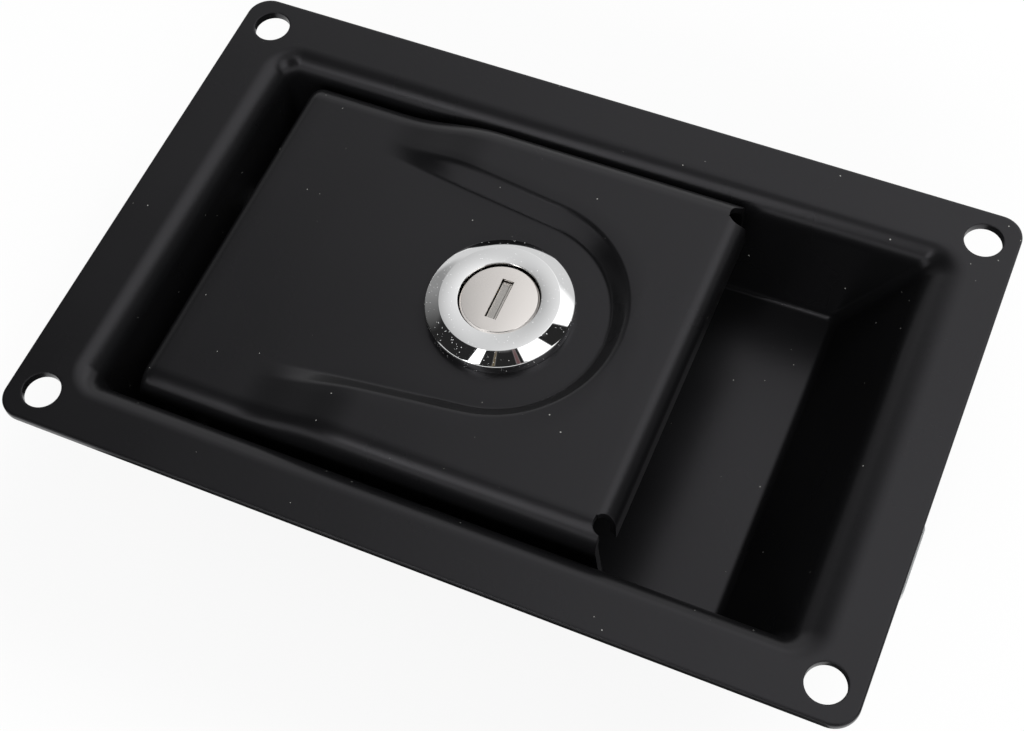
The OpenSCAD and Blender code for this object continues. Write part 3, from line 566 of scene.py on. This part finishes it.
# Lock housing: a zinc die casting in one piece, its conical bezel and threaded barrel with two flats,
# buffed and plated with bright chrome.
def bright_chrome():
    """Decorative chrome over buffed zinc: a neutral mirror with a very slight waviness and fine dust."""
    material, tree, shader, place = new_material("bright_chrome_plate")
    wave_mm, dust_mm = 6.0, 0.35
    wave = add(tree, "ShaderNodeTexNoise", inputs={
        "Vector": place, "Scale": 1 / (wave_mm * MM), "Detail": 1.0})
    speck = dust_specks(tree, place, dust_mm, 0.5, 0.24)
    rough = add(tree, "ShaderNodeMix", {"data_type": "FLOAT"}, {"Factor": speck, "A": 0.03, "B": 0.7})
    metal = add(tree, "ShaderNodeMath", {"operation": "SUBTRACT"}, {0: 1.0, 1: speck})
    tint = add(tree, "ShaderNodeMix", {"data_type": "RGBA"}, {
        "Factor": wave.outputs["Fac"], "A": linear("#eeeff0"), "B": linear("#f3f3f3")})
    bump = add(tree, "ShaderNodeBump", inputs={
        "Height": wave.outputs["Fac"], "Strength": 0.2, "Distance": 0.01 * MM})
    tree.links.new(metal.outputs[0], shader.inputs["Metallic"])
    tree.links.new(tint.outputs["Result"], shader.inputs["Base Color"])
    tree.links.new(rough.outputs["Result"], shader.inputs["Roughness"])
    tree.links.new(bump.outputs["Normal"], shader.inputs["Normal"])
    return material


def fillet(corners):
    """A closed outline from corners (radius from the axis, height, rounding)."""
    outline = []
    for i, (x, z, rounding) in enumerate(corners):
        here = Vector((x, z))
        if not rounding:
            outline.append((x, z))
            continue
        before = (Vector(corners[i - 1][:2]) - here).normalized()
        after = (Vector(corners[(i + 1) % len(corners)][:2]) - here).normalized()
        half = math.acos(max(-1, min(1, before.dot(after)))) / 2
        middle = here + (before + after).normalized() * rounding / math.sin(half)
        start = here + before * rounding / math.tan(half) - middle
        end = here + after * rounding / math.tan(half) - middle
        first = math.atan2(start.y, start.x)
        turn = (math.atan2(end.y, end.x) - first + math.pi) % (2 * math.pi) - math.pi
        for k in range(FILLET_STEPS + 1):
            a = first + turn * k / FILLET_STEPS
            outline.append((middle.x + rounding * math.cos(a), middle.y + rounding * math.sin(a)))
    return outline


def turned(outline, x, y, steps=128):
    """A solid of revolution about an upright axis, from a closed outline of (radius, height)."""
    bm = bmesh.new()
    rings = [[(x + r * math.cos(a), y + r * math.sin(a), z) for r, z in outline]
             for a in [2 * math.pi * i / steps for i in range(steps)]]
    bridge(bm, rings + rings[:1])
    return bm


def block(low, high):
    """A closed box between two corners, in millimetres."""
    (x0, y0, z0), (x1, y1, z1) = low, high
    return prism([(x0, y0), (x1, y0), (x1, y1), (x0, y1)], z0, z1)


housing_min, housing_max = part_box("lock_housing")
bezel_r = (housing_max.x - housing_min.x) / 2 / MM
bezel_top, barrel_end = housing_max.z / MM, housing_min.z / MM
seat_z, bezel_band, bezel_drop, bore_r, barrel_r = -paddle_low, 2.4, 1.22, 6.65, 9.4
thread_pitch, thread_depth, thread_gap = 1.0, 0.5, 1.0
root_r = barrel_r - thread_depth
profile = [(bore_r, bezel_top, 0.1), (bezel_r - bezel_band, bezel_top, 0.2),
           (bezel_r, bezel_top - bezel_drop, 0.5), (bezel_r, seat_z, 0.1), (root_r, seat_z, 0)]
z = seat_z - thread_gap
while z - thread_pitch > barrel_end:
    profile += [(root_r, z, 0), (barrel_r, z - thread_pitch / 2, 0.06)]
    z -= thread_pitch
profile += [(root_r, z, 0), (root_r, barrel_end, 0.1), (bore_r, barrel_end, 0)]
housing_bm = turned(fillet(profile), lock_x, lock_y)
housing = finish_mesh("chromed_lock_housing", housing_bm, bright_chrome(), smooth_angle=38)
flat_x, past_x, past_y, past_end = barrel_flat - 0.1, 14, 12, barrel_end - 1
cut_away(housing, [
    block((lock_x + flat_x, lock_y - past_y, past_end), (lock_x + past_x, lock_y + past_y, seat_z)),
    block((lock_x - past_x, lock_y - past_y, past_end), (lock_x - flat_x, lock_y + past_y, seat_z))],
    smooth_angle=38)
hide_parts("lock_housing")
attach(housing, "paddle")


# Key plug: turned brass, faced flat with a small chamfer and broached for the key, with a square tail
# that carries the cam, plated in satin nickel.
def satin_nickel():
    """Nickel over a faced end: warm pale grey, with faint rings left by the facing tool."""
    material, tree, shader, place = new_material("satin_nickel_plate")
    ring_mm, cloud_mm = 0.18, 2.5
    centred = add(tree, "ShaderNodeVectorMath", {"operation": "SUBTRACT"}, {
        0: place, 1: (lock_x * MM, lock_y * MM, 0)})
    flat = add(tree, "ShaderNodeVectorMath", {"operation": "MULTIPLY"}, {
        0: centred.outputs[0], 1: (1, 1, 0)})
    away = add(tree, "ShaderNodeVectorMath", {"operation": "LENGTH"}, {0: flat.outputs[0]})
    rings = add(tree, "ShaderNodeTexNoise", {"noise_dimensions": "1D"}, {
        "W": away.outputs["Value"], "Scale": 1 / (ring_mm * MM), "Detail": 2.0})
    cloud = add(tree, "ShaderNodeTexNoise", inputs={
        "Vector": place, "Scale": 1 / (cloud_mm * MM), "Detail": 2.0})
    tint = add(tree, "ShaderNodeMix", {"data_type": "RGBA"}, {
        "Factor": cloud.outputs["Fac"], "A": linear("#f2ede9"), "B": linear("#f5f0ec")})
    rough = add(tree, "ShaderNodeMapRange", inputs={
        "Value": rings.outputs["Fac"], "From Min": 0.3, "From Max": 0.7, "To Min": 0.15, "To Max": 0.19})
    bump = add(tree, "ShaderNodeBump", inputs={
        "Height": rings.outputs["Fac"], "Strength": 0.1, "Distance": 0.0012 * MM})
    shader.inputs["Metallic"].default_value = 1.0
    tree.links.new(tint.outputs["Result"], shader.inputs["Base Color"])
    tree.links.new(rough.outputs["Result"], shader.inputs["Roughness"])
    tree.links.new(bump.outputs["Normal"], shader.inputs["Normal"])
    return material


plug_min, plug_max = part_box("lock_plug")
plug_r, plug_set, plug_chamfer = (plug_max.x - plug_min.x) / 2 / MM, 0.2, 0.3
plug_top = plug_max.z / MM - plug_set
plug_end, tail_end, tail_half = barrel_end - 0.3, plug_min.z / MM, 3.0
key_half_l, key_half_w, key_depth = 3.75, 1.0, 14.5
profile = [(0, plug_top, 0), (plug_r - plug_chamfer, plug_top, 0.06), (plug_r, plug_top - plug_chamfer, 0.06),
           (plug_r, plug_end, 0.1), (0, plug_end, 0)]
plug_bm = turned(fillet(profile), lock_x, lock_y)
tail_bm = block((lock_x - tail_half, lock_y - tail_half, tail_end),
                (lock_x + tail_half, lock_y + tail_half, plug_end + 1))
tail_mesh = bpy.data.meshes.new("plug_tail")
tail_bm.to_mesh(tail_mesh)
tail_bm.free()
plug = finish_mesh("nickel_key_plug", plug_bm, satin_nickel(), smooth_angle=38)
cut_away(plug, [block((lock_x - key_half_w, lock_y - key_half_l, plug_top - key_depth),
                      (lock_x + key_half_w, lock_y + key_half_l, plug_top + 1))], smooth_angle=38)
bm = bmesh.new()
bm.from_mesh(plug.data)
bm.from_mesh(tail_mesh)
bm.to_mesh(plug.data)
bm.free()
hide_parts("lock_plug")
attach(plug, "plug")


# Bright hardware behind and inside the pan: the stamped and turned steel pieces are zinc plated and
# clear passivated, the springs and clips are bare spring steel, and the wafers are brass.
def plated(name, light, dark, rough_low, rough_high, streak_mm=1.4):
    """A metal finish with soft mottling, and fine rolling marks along the part."""
    material, tree, shader, place = new_material(name)
    mottle = add(tree, "ShaderNodeTexNoise", inputs={
        "Vector": place, "Scale": 1 / (5 * streak_mm * MM), "Detail": 4.0})
    stretched = add(tree, "ShaderNodeMapping", inputs={"Vector": place, "Scale": (0.08, 1, 1)})
    streak = add(tree, "ShaderNodeTexNoise", inputs={
        "Vector": stretched.outputs["Vector"], "Scale": 1 / (streak_mm * MM * 0.2), "Detail": 2.0})
    tint = add(tree, "ShaderNodeMix", {"data_type": "RGBA"}, {
        "Factor": mottle.outputs["Fac"], "A": linear(dark), "B": linear(light)})
    rough = add(tree, "ShaderNodeMapRange", inputs={
        "Value": streak.outputs["Fac"], "From Min": 0.3, "From Max": 0.7,
        "To Min": rough_low, "To Max": rough_high})
    bump = add(tree, "ShaderNodeBump", inputs={
        "Height": streak.outputs["Fac"], "Strength": 0.15, "Distance": 0.01 * MM})
    shader.inputs["Metallic"].default_value = 1.0
    tree.links.new(tint.outputs["Result"], shader.inputs["Base Color"])
    tree.links.new(rough.outputs["Result"], shader.inputs["Roughness"])
    tree.links.new(bump.outputs["Normal"], shader.inputs["Normal"])
    return material


zinc = plated("clear_zinc_plate", "#d2d4d4", "#b4b8b9", 0.26, 0.38)
# The pivot pin is painted nearly black: painted shade, so that its ends in the dark gaps beside the paddle
# look shaded
pin_painted_shade = plated("dark_pin_painted_shade", "#1c1c1d", "#121213", 0.4, 0.5)
spring_wire = plated("drawn_spring_steel", "#8f9194", "#6f7275", 0.28, 0.36, 0.5)
brass = plated("rolled_brass", "#c8a85a", "#a98a45", 0.25, 0.35)
shutter_steel = plated("dull_nickel_steel", "#cbc8c4", "#b9b6b2", 0.4, 0.5, 0.6)
finishes = {"pivot_pin": pin_painted_shade, "wafers": brass, "pin_clip": spring_wire, "dust_shutter": shutter_steel}
for node_name in ("pivot_pin", "pin_clip", "drive_arm", "bell_crank", "crank_pin", "bolt",
                  "bolt_guide", "spring_bracket", "wafers", "dust_shutter", "lock_washer", "lock_nut",
                  "lock_cam", "cam_washer", "cam_screw", "cam_keeper"):
    mesh = nodes[node_name].data
    mesh.materials.clear()
    mesh.materials.append(finishes.get(node_name, zinc))

# Crank washer: stamped from steel strip, tumbled so that its edges are round and zinc plated. It sits on
# the crank's rivet with a film of grease between it and the crank.
low, high = (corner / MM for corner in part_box("crank_washer"))
washer_r, washer_bore, washer_edge_r, grease = (high.x - low.x) / 2, 2.1, 0.1, 0.04
profile = [(r, z, washer_edge_r) for r, z in ((washer_bore, high.z), (washer_r, high.z),
                                              (washer_r, low.z + grease), (washer_bore, low.z + grease))]
washer_x, washer_y, _ = centre("crank_washer")
washer_bm = turned(fillet(profile), washer_x, washer_y, steps=64)
washer = finish_mesh("tumbled_crank_washer", washer_bm, zinc, smooth_angle=38)
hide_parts("crank_washer")
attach(washer, "pan")


# Rivets: mild steel, upset cold with a round head at each side of the joint, zinc plated. One node
# tree makes a rivet and sets it on every point.
def node_tree(name, values):
    """An empty geometry tree with its named inputs, and its input and output nodes."""
    tree = bpy.data.node_groups.new(name, "GeometryNodeTree")
    tree.interface.new_socket("Geometry", in_out="INPUT", socket_type="NodeSocketGeometry")
    for label in values:
        tree.interface.new_socket(label, in_out="INPUT", socket_type="NodeSocketFloat")
    tree.interface.new_socket("Geometry", in_out="OUTPUT", socket_type="NodeSocketGeometry")
    return tree, add(tree, "NodeGroupInput").outputs


def end_tree(tree, geometry, material):
    """Makes the instances real, gives them their material and ends the tree."""
    real = add(tree, "GeometryNodeRealizeInstances", inputs={"Geometry": geometry})
    coated = add(tree, "GeometryNodeSetMaterial", inputs={
        "Geometry": real.outputs["Geometry"], "Material": material})
    add(tree, "NodeGroupOutput", inputs={"Geometry": coated.outputs["Geometry"]})


def grown_by(tree, name, points, edges, values, smooth_angle=38):
    """A plain mesh that a geometry tree makes from points in millimetres and edges between them."""
    seed = bpy.data.meshes.new(name)
    seed.from_pydata([Vector(p) * MM for p in points], edges, [])
    piece = bpy.data.objects.new(name, seed)
    bpy.context.scene.collection.objects.link(piece)
    modifier = piece.modifiers.new("grow", "NODES")
    modifier.node_group = tree
    for socket in tree.interface.items_tree:
        if socket.name in values:
            modifier[socket.identifier] = values[socket.name] * MM
    depsgraph = bpy.context.evaluated_depsgraph_get()
    grown_mesh = bpy.data.meshes.new_from_object(piece.evaluated_get(depsgraph))
    piece.modifiers.clear()
    piece.data = grown_mesh
    grown_mesh.name = name
    bm = bmesh.new()
    bm.from_mesh(grown_mesh)
    mark_creases(bm, smooth_angle)
    bm.to_mesh(grown_mesh)
    bm.free()
    return piece


rivet_tree, given = node_tree("upset_rivet", ("Head Radius", "Head Height", "Shank Radius", "Grip"))
ball = add(rivet_tree, "GeometryNodeMeshUVSphere", inputs={"Segments": 32, "Rings": 20, "Radius": 1.0})
spot = add(rivet_tree, "GeometryNodeInputPosition")
upper = add(rivet_tree, "ShaderNodeVectorMath", {"operation": "MAXIMUM"}, {
    0: spot.outputs["Position"], 1: (-1.0, -1.0, 0.0)})
head_size = add(rivet_tree, "ShaderNodeCombineXYZ", inputs={
    "X": given["Head Radius"], "Y": given["Head Radius"], "Z": given["Head Height"]})
dome = add(rivet_tree, "ShaderNodeVectorMath", {"operation": "MULTIPLY"}, {
    0: upper.outputs[0], 1: head_size.outputs[0]})
head = add(rivet_tree, "GeometryNodeSetPosition", inputs={
    "Geometry": ball.outputs["Mesh"], "Position": dome.outputs[0]})
join = add(rivet_tree, "GeometryNodeJoinGeometry")
for side, turn in ((0.5, 0.0), (-0.5, math.pi)):
    height = add(rivet_tree, "ShaderNodeMath", {"operation": "MULTIPLY"}, {0: given["Grip"], 1: side})
    lift = add(rivet_tree, "ShaderNodeCombineXYZ", inputs={"Z": height.outputs[0]})
    placed = add(rivet_tree, "GeometryNodeTransform", inputs={
        "Geometry": head.outputs["Geometry"], "Translation": lift.outputs[0], "Rotation": (turn, 0.0, 0.0)})
    rivet_tree.links.new(placed.outputs["Geometry"], join.inputs["Geometry"])
shank = add(rivet_tree, "GeometryNodeMeshCylinder", inputs={
    "Vertices": 32, "Radius": given["Shank Radius"], "Depth": given["Grip"]})
rivet_tree.links.new(shank.outputs["Mesh"], join.inputs["Geometry"])
set_out = add(rivet_tree, "GeometryNodeInstanceOnPoints", inputs={
    "Points": given["Geometry"], "Instance": join.outputs["Geometry"]})
end_tree(rivet_tree, set_out.outputs["Instances"], zinc)
head_h, shank_r = 1.6, 2.0
for node_name in ("crank_rivet", "bracket_rivets", "keeper_rivets"):
    low, high = (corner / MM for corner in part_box(node_name))
    places = [(x, y, (low.z + high.z) / 2) for x, y in rivet_places(node_name)]
    rivets = grown_by(rivet_tree, "upset_" + node_name, places, [], {
        "Head Radius": rivet_head_r, "Head Height": head_h, "Shank Radius": shank_r,
        "Grip": high.z - low.z - 2 * head_h})
    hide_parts(node_name)
    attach(rivets, "pan")

# Springs: hard drawn wire wound cold, the return spring on the pivot pin with a leg on the floor and
# a leg under the paddle, and the bolt spring in line behind the bolt.
wire_tree, given = node_tree("wound_wire", ("Wire Radius",))
path_curve = add(wire_tree, "GeometryNodeMeshToCurve", inputs={"Mesh": given["Geometry"]})
ring = add(wire_tree, "GeometryNodeCurvePrimitiveCircle", inputs={
    "Resolution": 14, "Radius": given["Wire Radius"]})
wire = add(wire_tree, "GeometryNodeCurveToMesh", inputs={
    "Curve": path_curve.outputs["Curve"], "Profile Curve": ring.outputs["Curve"], "Fill Caps": True})
end_tree(wire_tree, wire.outputs["Mesh"], spring_wire)


def wound(name, points, wire_r):
    """A spring along a path of points, in the place of the CAD node of its name."""
    steps = [(i, i + 1) for i in range(len(points) - 1)]
    spring = grown_by(wire_tree, "wound_" + name, points, steps, {"Wire Radius": wire_r}, smooth_angle=50)
    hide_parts(name)
    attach(spring, "pan")
    return spring


COIL_STEPS = 40
wire_r, coil_r, coil_pitch, coil_turns = 0.6, 6.6, 1.45, 4.25
coil_start_y, floor_leg, paddle_leg = -6.0, -14.9, -14.0
turns = [2 * math.pi * i / COIL_STEPS for i in range(round(coil_turns * COIL_STEPS) + 1)]
coil = [(coil_r * math.cos(a), coil_r * math.sin(a), coil_pitch * a / (2 * math.pi)) for a in turns]
coil = [(coil_r, floor_leg, 0)] + coil + [(paddle_leg, coil_r, coil_pitch * coil_turns)]
wound("return_spring", [(pin_x - a, coil_start_y - c, pin_z + b) for a, b, c in coil], wire_r)

spring_low, spring_high = (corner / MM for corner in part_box("bolt_spring"))
coil_middle = (spring_low + spring_high) / 2
wire_r, coil_turns = 0.5, 8
coil_r = (spring_high.y - spring_low.y) / 2 - wire_r
coil_run = spring_high.x - spring_low.x - 2 * wire_r
turns = [i / COIL_STEPS for i in range(coil_turns * COIL_STEPS + 1)]
bolt_spring = wound("bolt_spring", [
    (spring_low.x + wire_r + coil_run * t / coil_turns,
     coil_middle.y + coil_r * math.cos(2 * math.pi * t),
     coil_middle.z + coil_r * math.sin(2 * math.pi * t)) for t in turns], wire_r)
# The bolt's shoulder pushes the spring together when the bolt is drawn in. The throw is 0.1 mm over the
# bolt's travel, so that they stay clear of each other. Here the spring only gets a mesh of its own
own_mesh(bolt_spring)

# Studio: a sheet of white paper under the part, a white tent round it, two soft boxes, and the camera at
# the photo's place.
floor_bm = bmesh.new()
reach, below = 4.0, 0.0002
floor_z = cad_box[0][2] - below
corners = [floor_bm.verts.new((x, y, floor_z)) for x, y in
           ((-reach, -reach), (reach, -reach), (reach, reach), (-reach, reach))]
floor_bm.faces.new(corners)
floor_mesh = bpy.data.meshes.new("studio_floor")
floor_bm.to_mesh(floor_mesh)
floor_bm.free()
paper = bpy.data.materials.new("white_paper_floor")
paper.use_nodes = True
tree = paper.node_tree
tree.nodes.clear()


def seen_directly(tree):
    """1 for rays from the camera, mirrors and clear pieces, 0 for the rays that carry light."""
    path = add(tree, "ShaderNodeLightPath")
    seen = add(tree, "ShaderNodeMath", {"operation": "MAXIMUM"}, {
        0: path.outputs["Is Camera Ray"], 1: path.outputs["Is Glossy Ray"]})
    return path, add(tree, "ShaderNodeMath", {"operation": "MAXIMUM"}, {
        0: seen.outputs[0], 1: path.outputs["Is Transmission Ray"]}).outputs[0]


path, shown = seen_directly(tree)
# Painted shade: for what the coats mirror, the paper under the part, and a strip before and behind it, is
# painted dark grey, so that the edges don't turn white
spot = add(tree, "ShaderNodeSeparateXYZ", inputs={
    "Vector": add(tree, "ShaderNodeTexCoord").outputs["Object"]})
painted_shade_zone = path.outputs["Is Glossy Ray"]
painted_shade_reach = 0.05
for axis, half in (("X", plate_half_l * MM), ("Y", plate_half_w * MM + painted_shade_reach)):
    within = add(tree, "ShaderNodeMath", {"operation": "COMPARE"}, {0: spot.outputs[axis], 1: 0.0, 2: half})
    painted_shade_zone = add(tree, "ShaderNodeMath", {"operation": "MULTIPLY"}, {
        0: painted_shade_zone, 1: within.outputs[0]}).outputs[0]
matt = add(tree, "ShaderNodeBsdfDiffuse", inputs={"Color": linear("#f4f4f4")})
white = add(tree, "ShaderNodeEmission", inputs={"Color": linear("#ffffff"), "Strength": 1.0})
part_shadow = add(tree, "ShaderNodeMixShader", inputs={"Fac": 0.88, 1: matt.outputs[0], 2: white.outputs[0]})
glow = add(tree, "ShaderNodeMixShader", inputs={"Fac": shown, 1: matt.outputs[0], 2: part_shadow.outputs[0]})
# Dark grey paper seen only by glossy rays in that zone: painted shade
painted_shade_paper = add(tree, "ShaderNodeBsdfDiffuse", inputs={"Color": linear("#3a3a3a")})
paper_with_painted_shade = add(tree, "ShaderNodeMixShader", inputs={"Fac": painted_shade_zone, 1: glow.outputs[0], 2: painted_shade_paper.outputs[0]})
add(tree, "ShaderNodeOutputMaterial", inputs={"Surface": paper_with_painted_shade.outputs[0]})
floor_mesh.materials.append(paper)
floor = bpy.data.objects.new("studio_floor", floor_mesh)
bpy.context.scene.collection.objects.link(floor)

# The tent round the part is white where the camera sees it. What the coats and the chrome mirror is
# the studio: a broad box overhead, brighter to the right, a second box in front, and black between them.
world = bpy.data.worlds.new("photo_tent")
bpy.context.scene.world = world
world.use_nodes = True
tree = world.node_tree
tree.nodes.clear()
way = add(tree, "ShaderNodeSeparateXYZ", inputs={
    "Vector": add(tree, "ShaderNodeTexCoord").outputs["Generated"]})
way_x, way_y, way_z = (way.outputs[axis] for axis in ("X", "Y", "Z"))
around = add(tree, "ShaderNodeMath", {"operation": "ARCTAN2"}, {0: way_y, 1: way_x}).outputs[0]


def ramp(value, low, high, at_low=0.0, at_high=1.0, kind="SMOOTHSTEP"):
    """A step between two values of a direction's coordinate."""
    return add(tree, "ShaderNodeMapRange", {"interpolation_type": kind}, {
        "Value": value, "From Min": low, "From Max": high,
        "To Min": at_low, "To Max": at_high}).outputs["Result"]


def math_of(operation, a, b):
    """The result of an operation on two values or sockets."""
    return add(tree, "ShaderNodeMath", {"operation": operation}, {0: a, 1: b}).outputs[0]


def window(value, low, high, soft):
    """1 between two values of a coordinate, with soft ends."""
    rise = ramp(value, low - soft, low + soft)
    fall = ramp(value, high - soft, high + soft, 1.0, 0.0)
    return math_of("MULTIPLY", rise, fall)


def over(below, card, level):
    """Lays a card of a brightness over what is painted so far."""
    return add(tree, "ShaderNodeMix", {"data_type": "FLOAT"}, {
        "Factor": card, "A": below, "B": level}).outputs["Result"]


def sector(first, last, low, high):
    """1 between two bearings in degrees, counted from +X, and between two heights."""
    side_soft, height_soft = 0.02, 0.04
    bearing = window(around, math.radians(first), math.radians(last), side_soft)
    return math_of("MULTIPLY", bearing, window(way_z, low, high, height_soft))


near_part = math_of("ADD", ramp(way_x, -0.52, 0.05, 0.08, 1.45),
                    ramp(way_x, 0.05, 0.5, 0.0, 0.15, "LINEAR"))
far_part = ramp(way_x, -1.0, 0.5, 0.17, 1.36, "LINEAR")
overhead = over(near_part, ramp(way_y, 0.36, 0.6, kind="LINEAR"), far_part)
overhead = math_of("MULTIPLY", overhead, ramp(way_y, 0.57, 0.8, 1.0, 1.4))
gap_above = ramp(way_z, 0.925, 0.96, 0.02, 0.42)
studio = over(gap_above, ramp(way_y, 0.12, 0.3), overhead)
horizon = math_of("MULTIPLY", ramp(way_z, 0.42, 0.56, 1.0, 0.0), ramp(way_y, 0.1, 0.45))
studio = over(studio, horizon, 0.7)
left_grey = math_of("MULTIPLY", ramp(way_x, -0.85, -0.65, 1.0, 0.0), window(way_z, 0.1, 0.6, 0.05))
studio = over(studio, left_grey, ramp(way_y, -0.18, 0.35, 0.02, 0.28, "LINEAR"))
# Black stands hide the front, apart from a strip box on the left, the bare tent on the right and the table
for first, last, low, high, level in ((-119, -104, 0.55, 0.95, 3.2), (-34, 8, 0.55, 0.95, 1.6),
                                      (10, 35, -0.1, 0.85, 0.02), (-150, 8, 0.2, 0.48, 1.0)):
    studio = over(studio, sector(first, last, low, high), level)

path, shown = seen_directly(tree)
shine = over(0.45, shown, 1.0)
shine = over(shine, path.outputs["Is Glossy Ray"], studio)
# Two coloured things between the boxes show as thin streaks in the chrome
tint = linear("#ffffff")
for first, last, colour in ((-85, -81, "#8a7a5e"), (-46, -40, "#8f6f70")):
    streak = sector(first, last, 0.55, 0.95)
    shine = over(shine, math_of("MULTIPLY", streak, path.outputs["Is Glossy Ray"]), 0.55)
    tint = add(tree, "ShaderNodeMix", {"data_type": "RGBA"}, {
        "Factor": streak, "A": tint, "B": linear(colour)}).outputs["Result"]
tint = add(tree, "ShaderNodeMix", {"data_type": "RGBA"}, {
    "Factor": path.outputs["Is Glossy Ray"], "A": linear("#ffffff"), "B": tint}).outputs["Result"]
light = add(tree, "ShaderNodeBackground", inputs={"Color": tint, "Strength": shine})
add(tree, "ShaderNodeOutputWorld", inputs={"Surface": light.outputs[0]})


def soft_box(name, place, aim, width, height, watts):
    """A rectangular lamp at a place, turned to face a point; metres."""
    lamp = bpy.data.lights.new(name, "AREA")
    lamp.shape = "RECTANGLE"
    lamp.size, lamp.size_y, lamp.energy = width, height, watts
    lamp_object = bpy.data.objects.new(name, lamp)
    lamp_object.location = place
    lamp_object.rotation_euler = (Vector(aim) - Vector(place)).to_track_quat("-Z", "Y").to_euler()
    lamp_object.visible_glossy = False
    bpy.context.scene.collection.objects.link(lamp_object)


soft_box("back_right_box", (0.35, 0.55, 0.75), (0, 0, 0), 0.6, 0.4, 6.0)
soft_box("front_box", (0.2, -0.8, 0.5), (0, 0, 0), 0.7, 0.3, 5.0)

# The camera's place and lens were fitted to the plate's edges and holes in the photo
camera_data = bpy.data.cameras.new("photo_camera")
camera_data.lens, camera_data.sensor_width = 61.005, 36.0
camera_data.sensor_fit = "HORIZONTAL"
camera = bpy.data.objects.new("photo_camera", camera_data)
aim = Vector((3.2146, -8.7882, 0)) * MM
distance = 0.270256
azimuth, elevation, roll = (math.radians(angle) for angle in (29.436, 59.573, -7.054))
out = Vector((math.cos(elevation) * math.sin(azimuth), -math.cos(elevation) * math.cos(azimuth),
              math.sin(elevation)))
level_right = Vector((0, 0, 1)).cross(out).normalized()
level_up = out.cross(level_right)
right = math.cos(roll) * level_right + math.sin(roll) * level_up
up = out.cross(right)
turn = Matrix((right, up, out)).transposed().to_4x4()
camera.matrix_world = Matrix.Translation(aim + distance * out) @ turn
bpy.context.scene.collection.objects.link(camera)
bpy.context.scene.camera = camera

view = bpy.context.scene.view_settings
view.view_transform = "Standard"
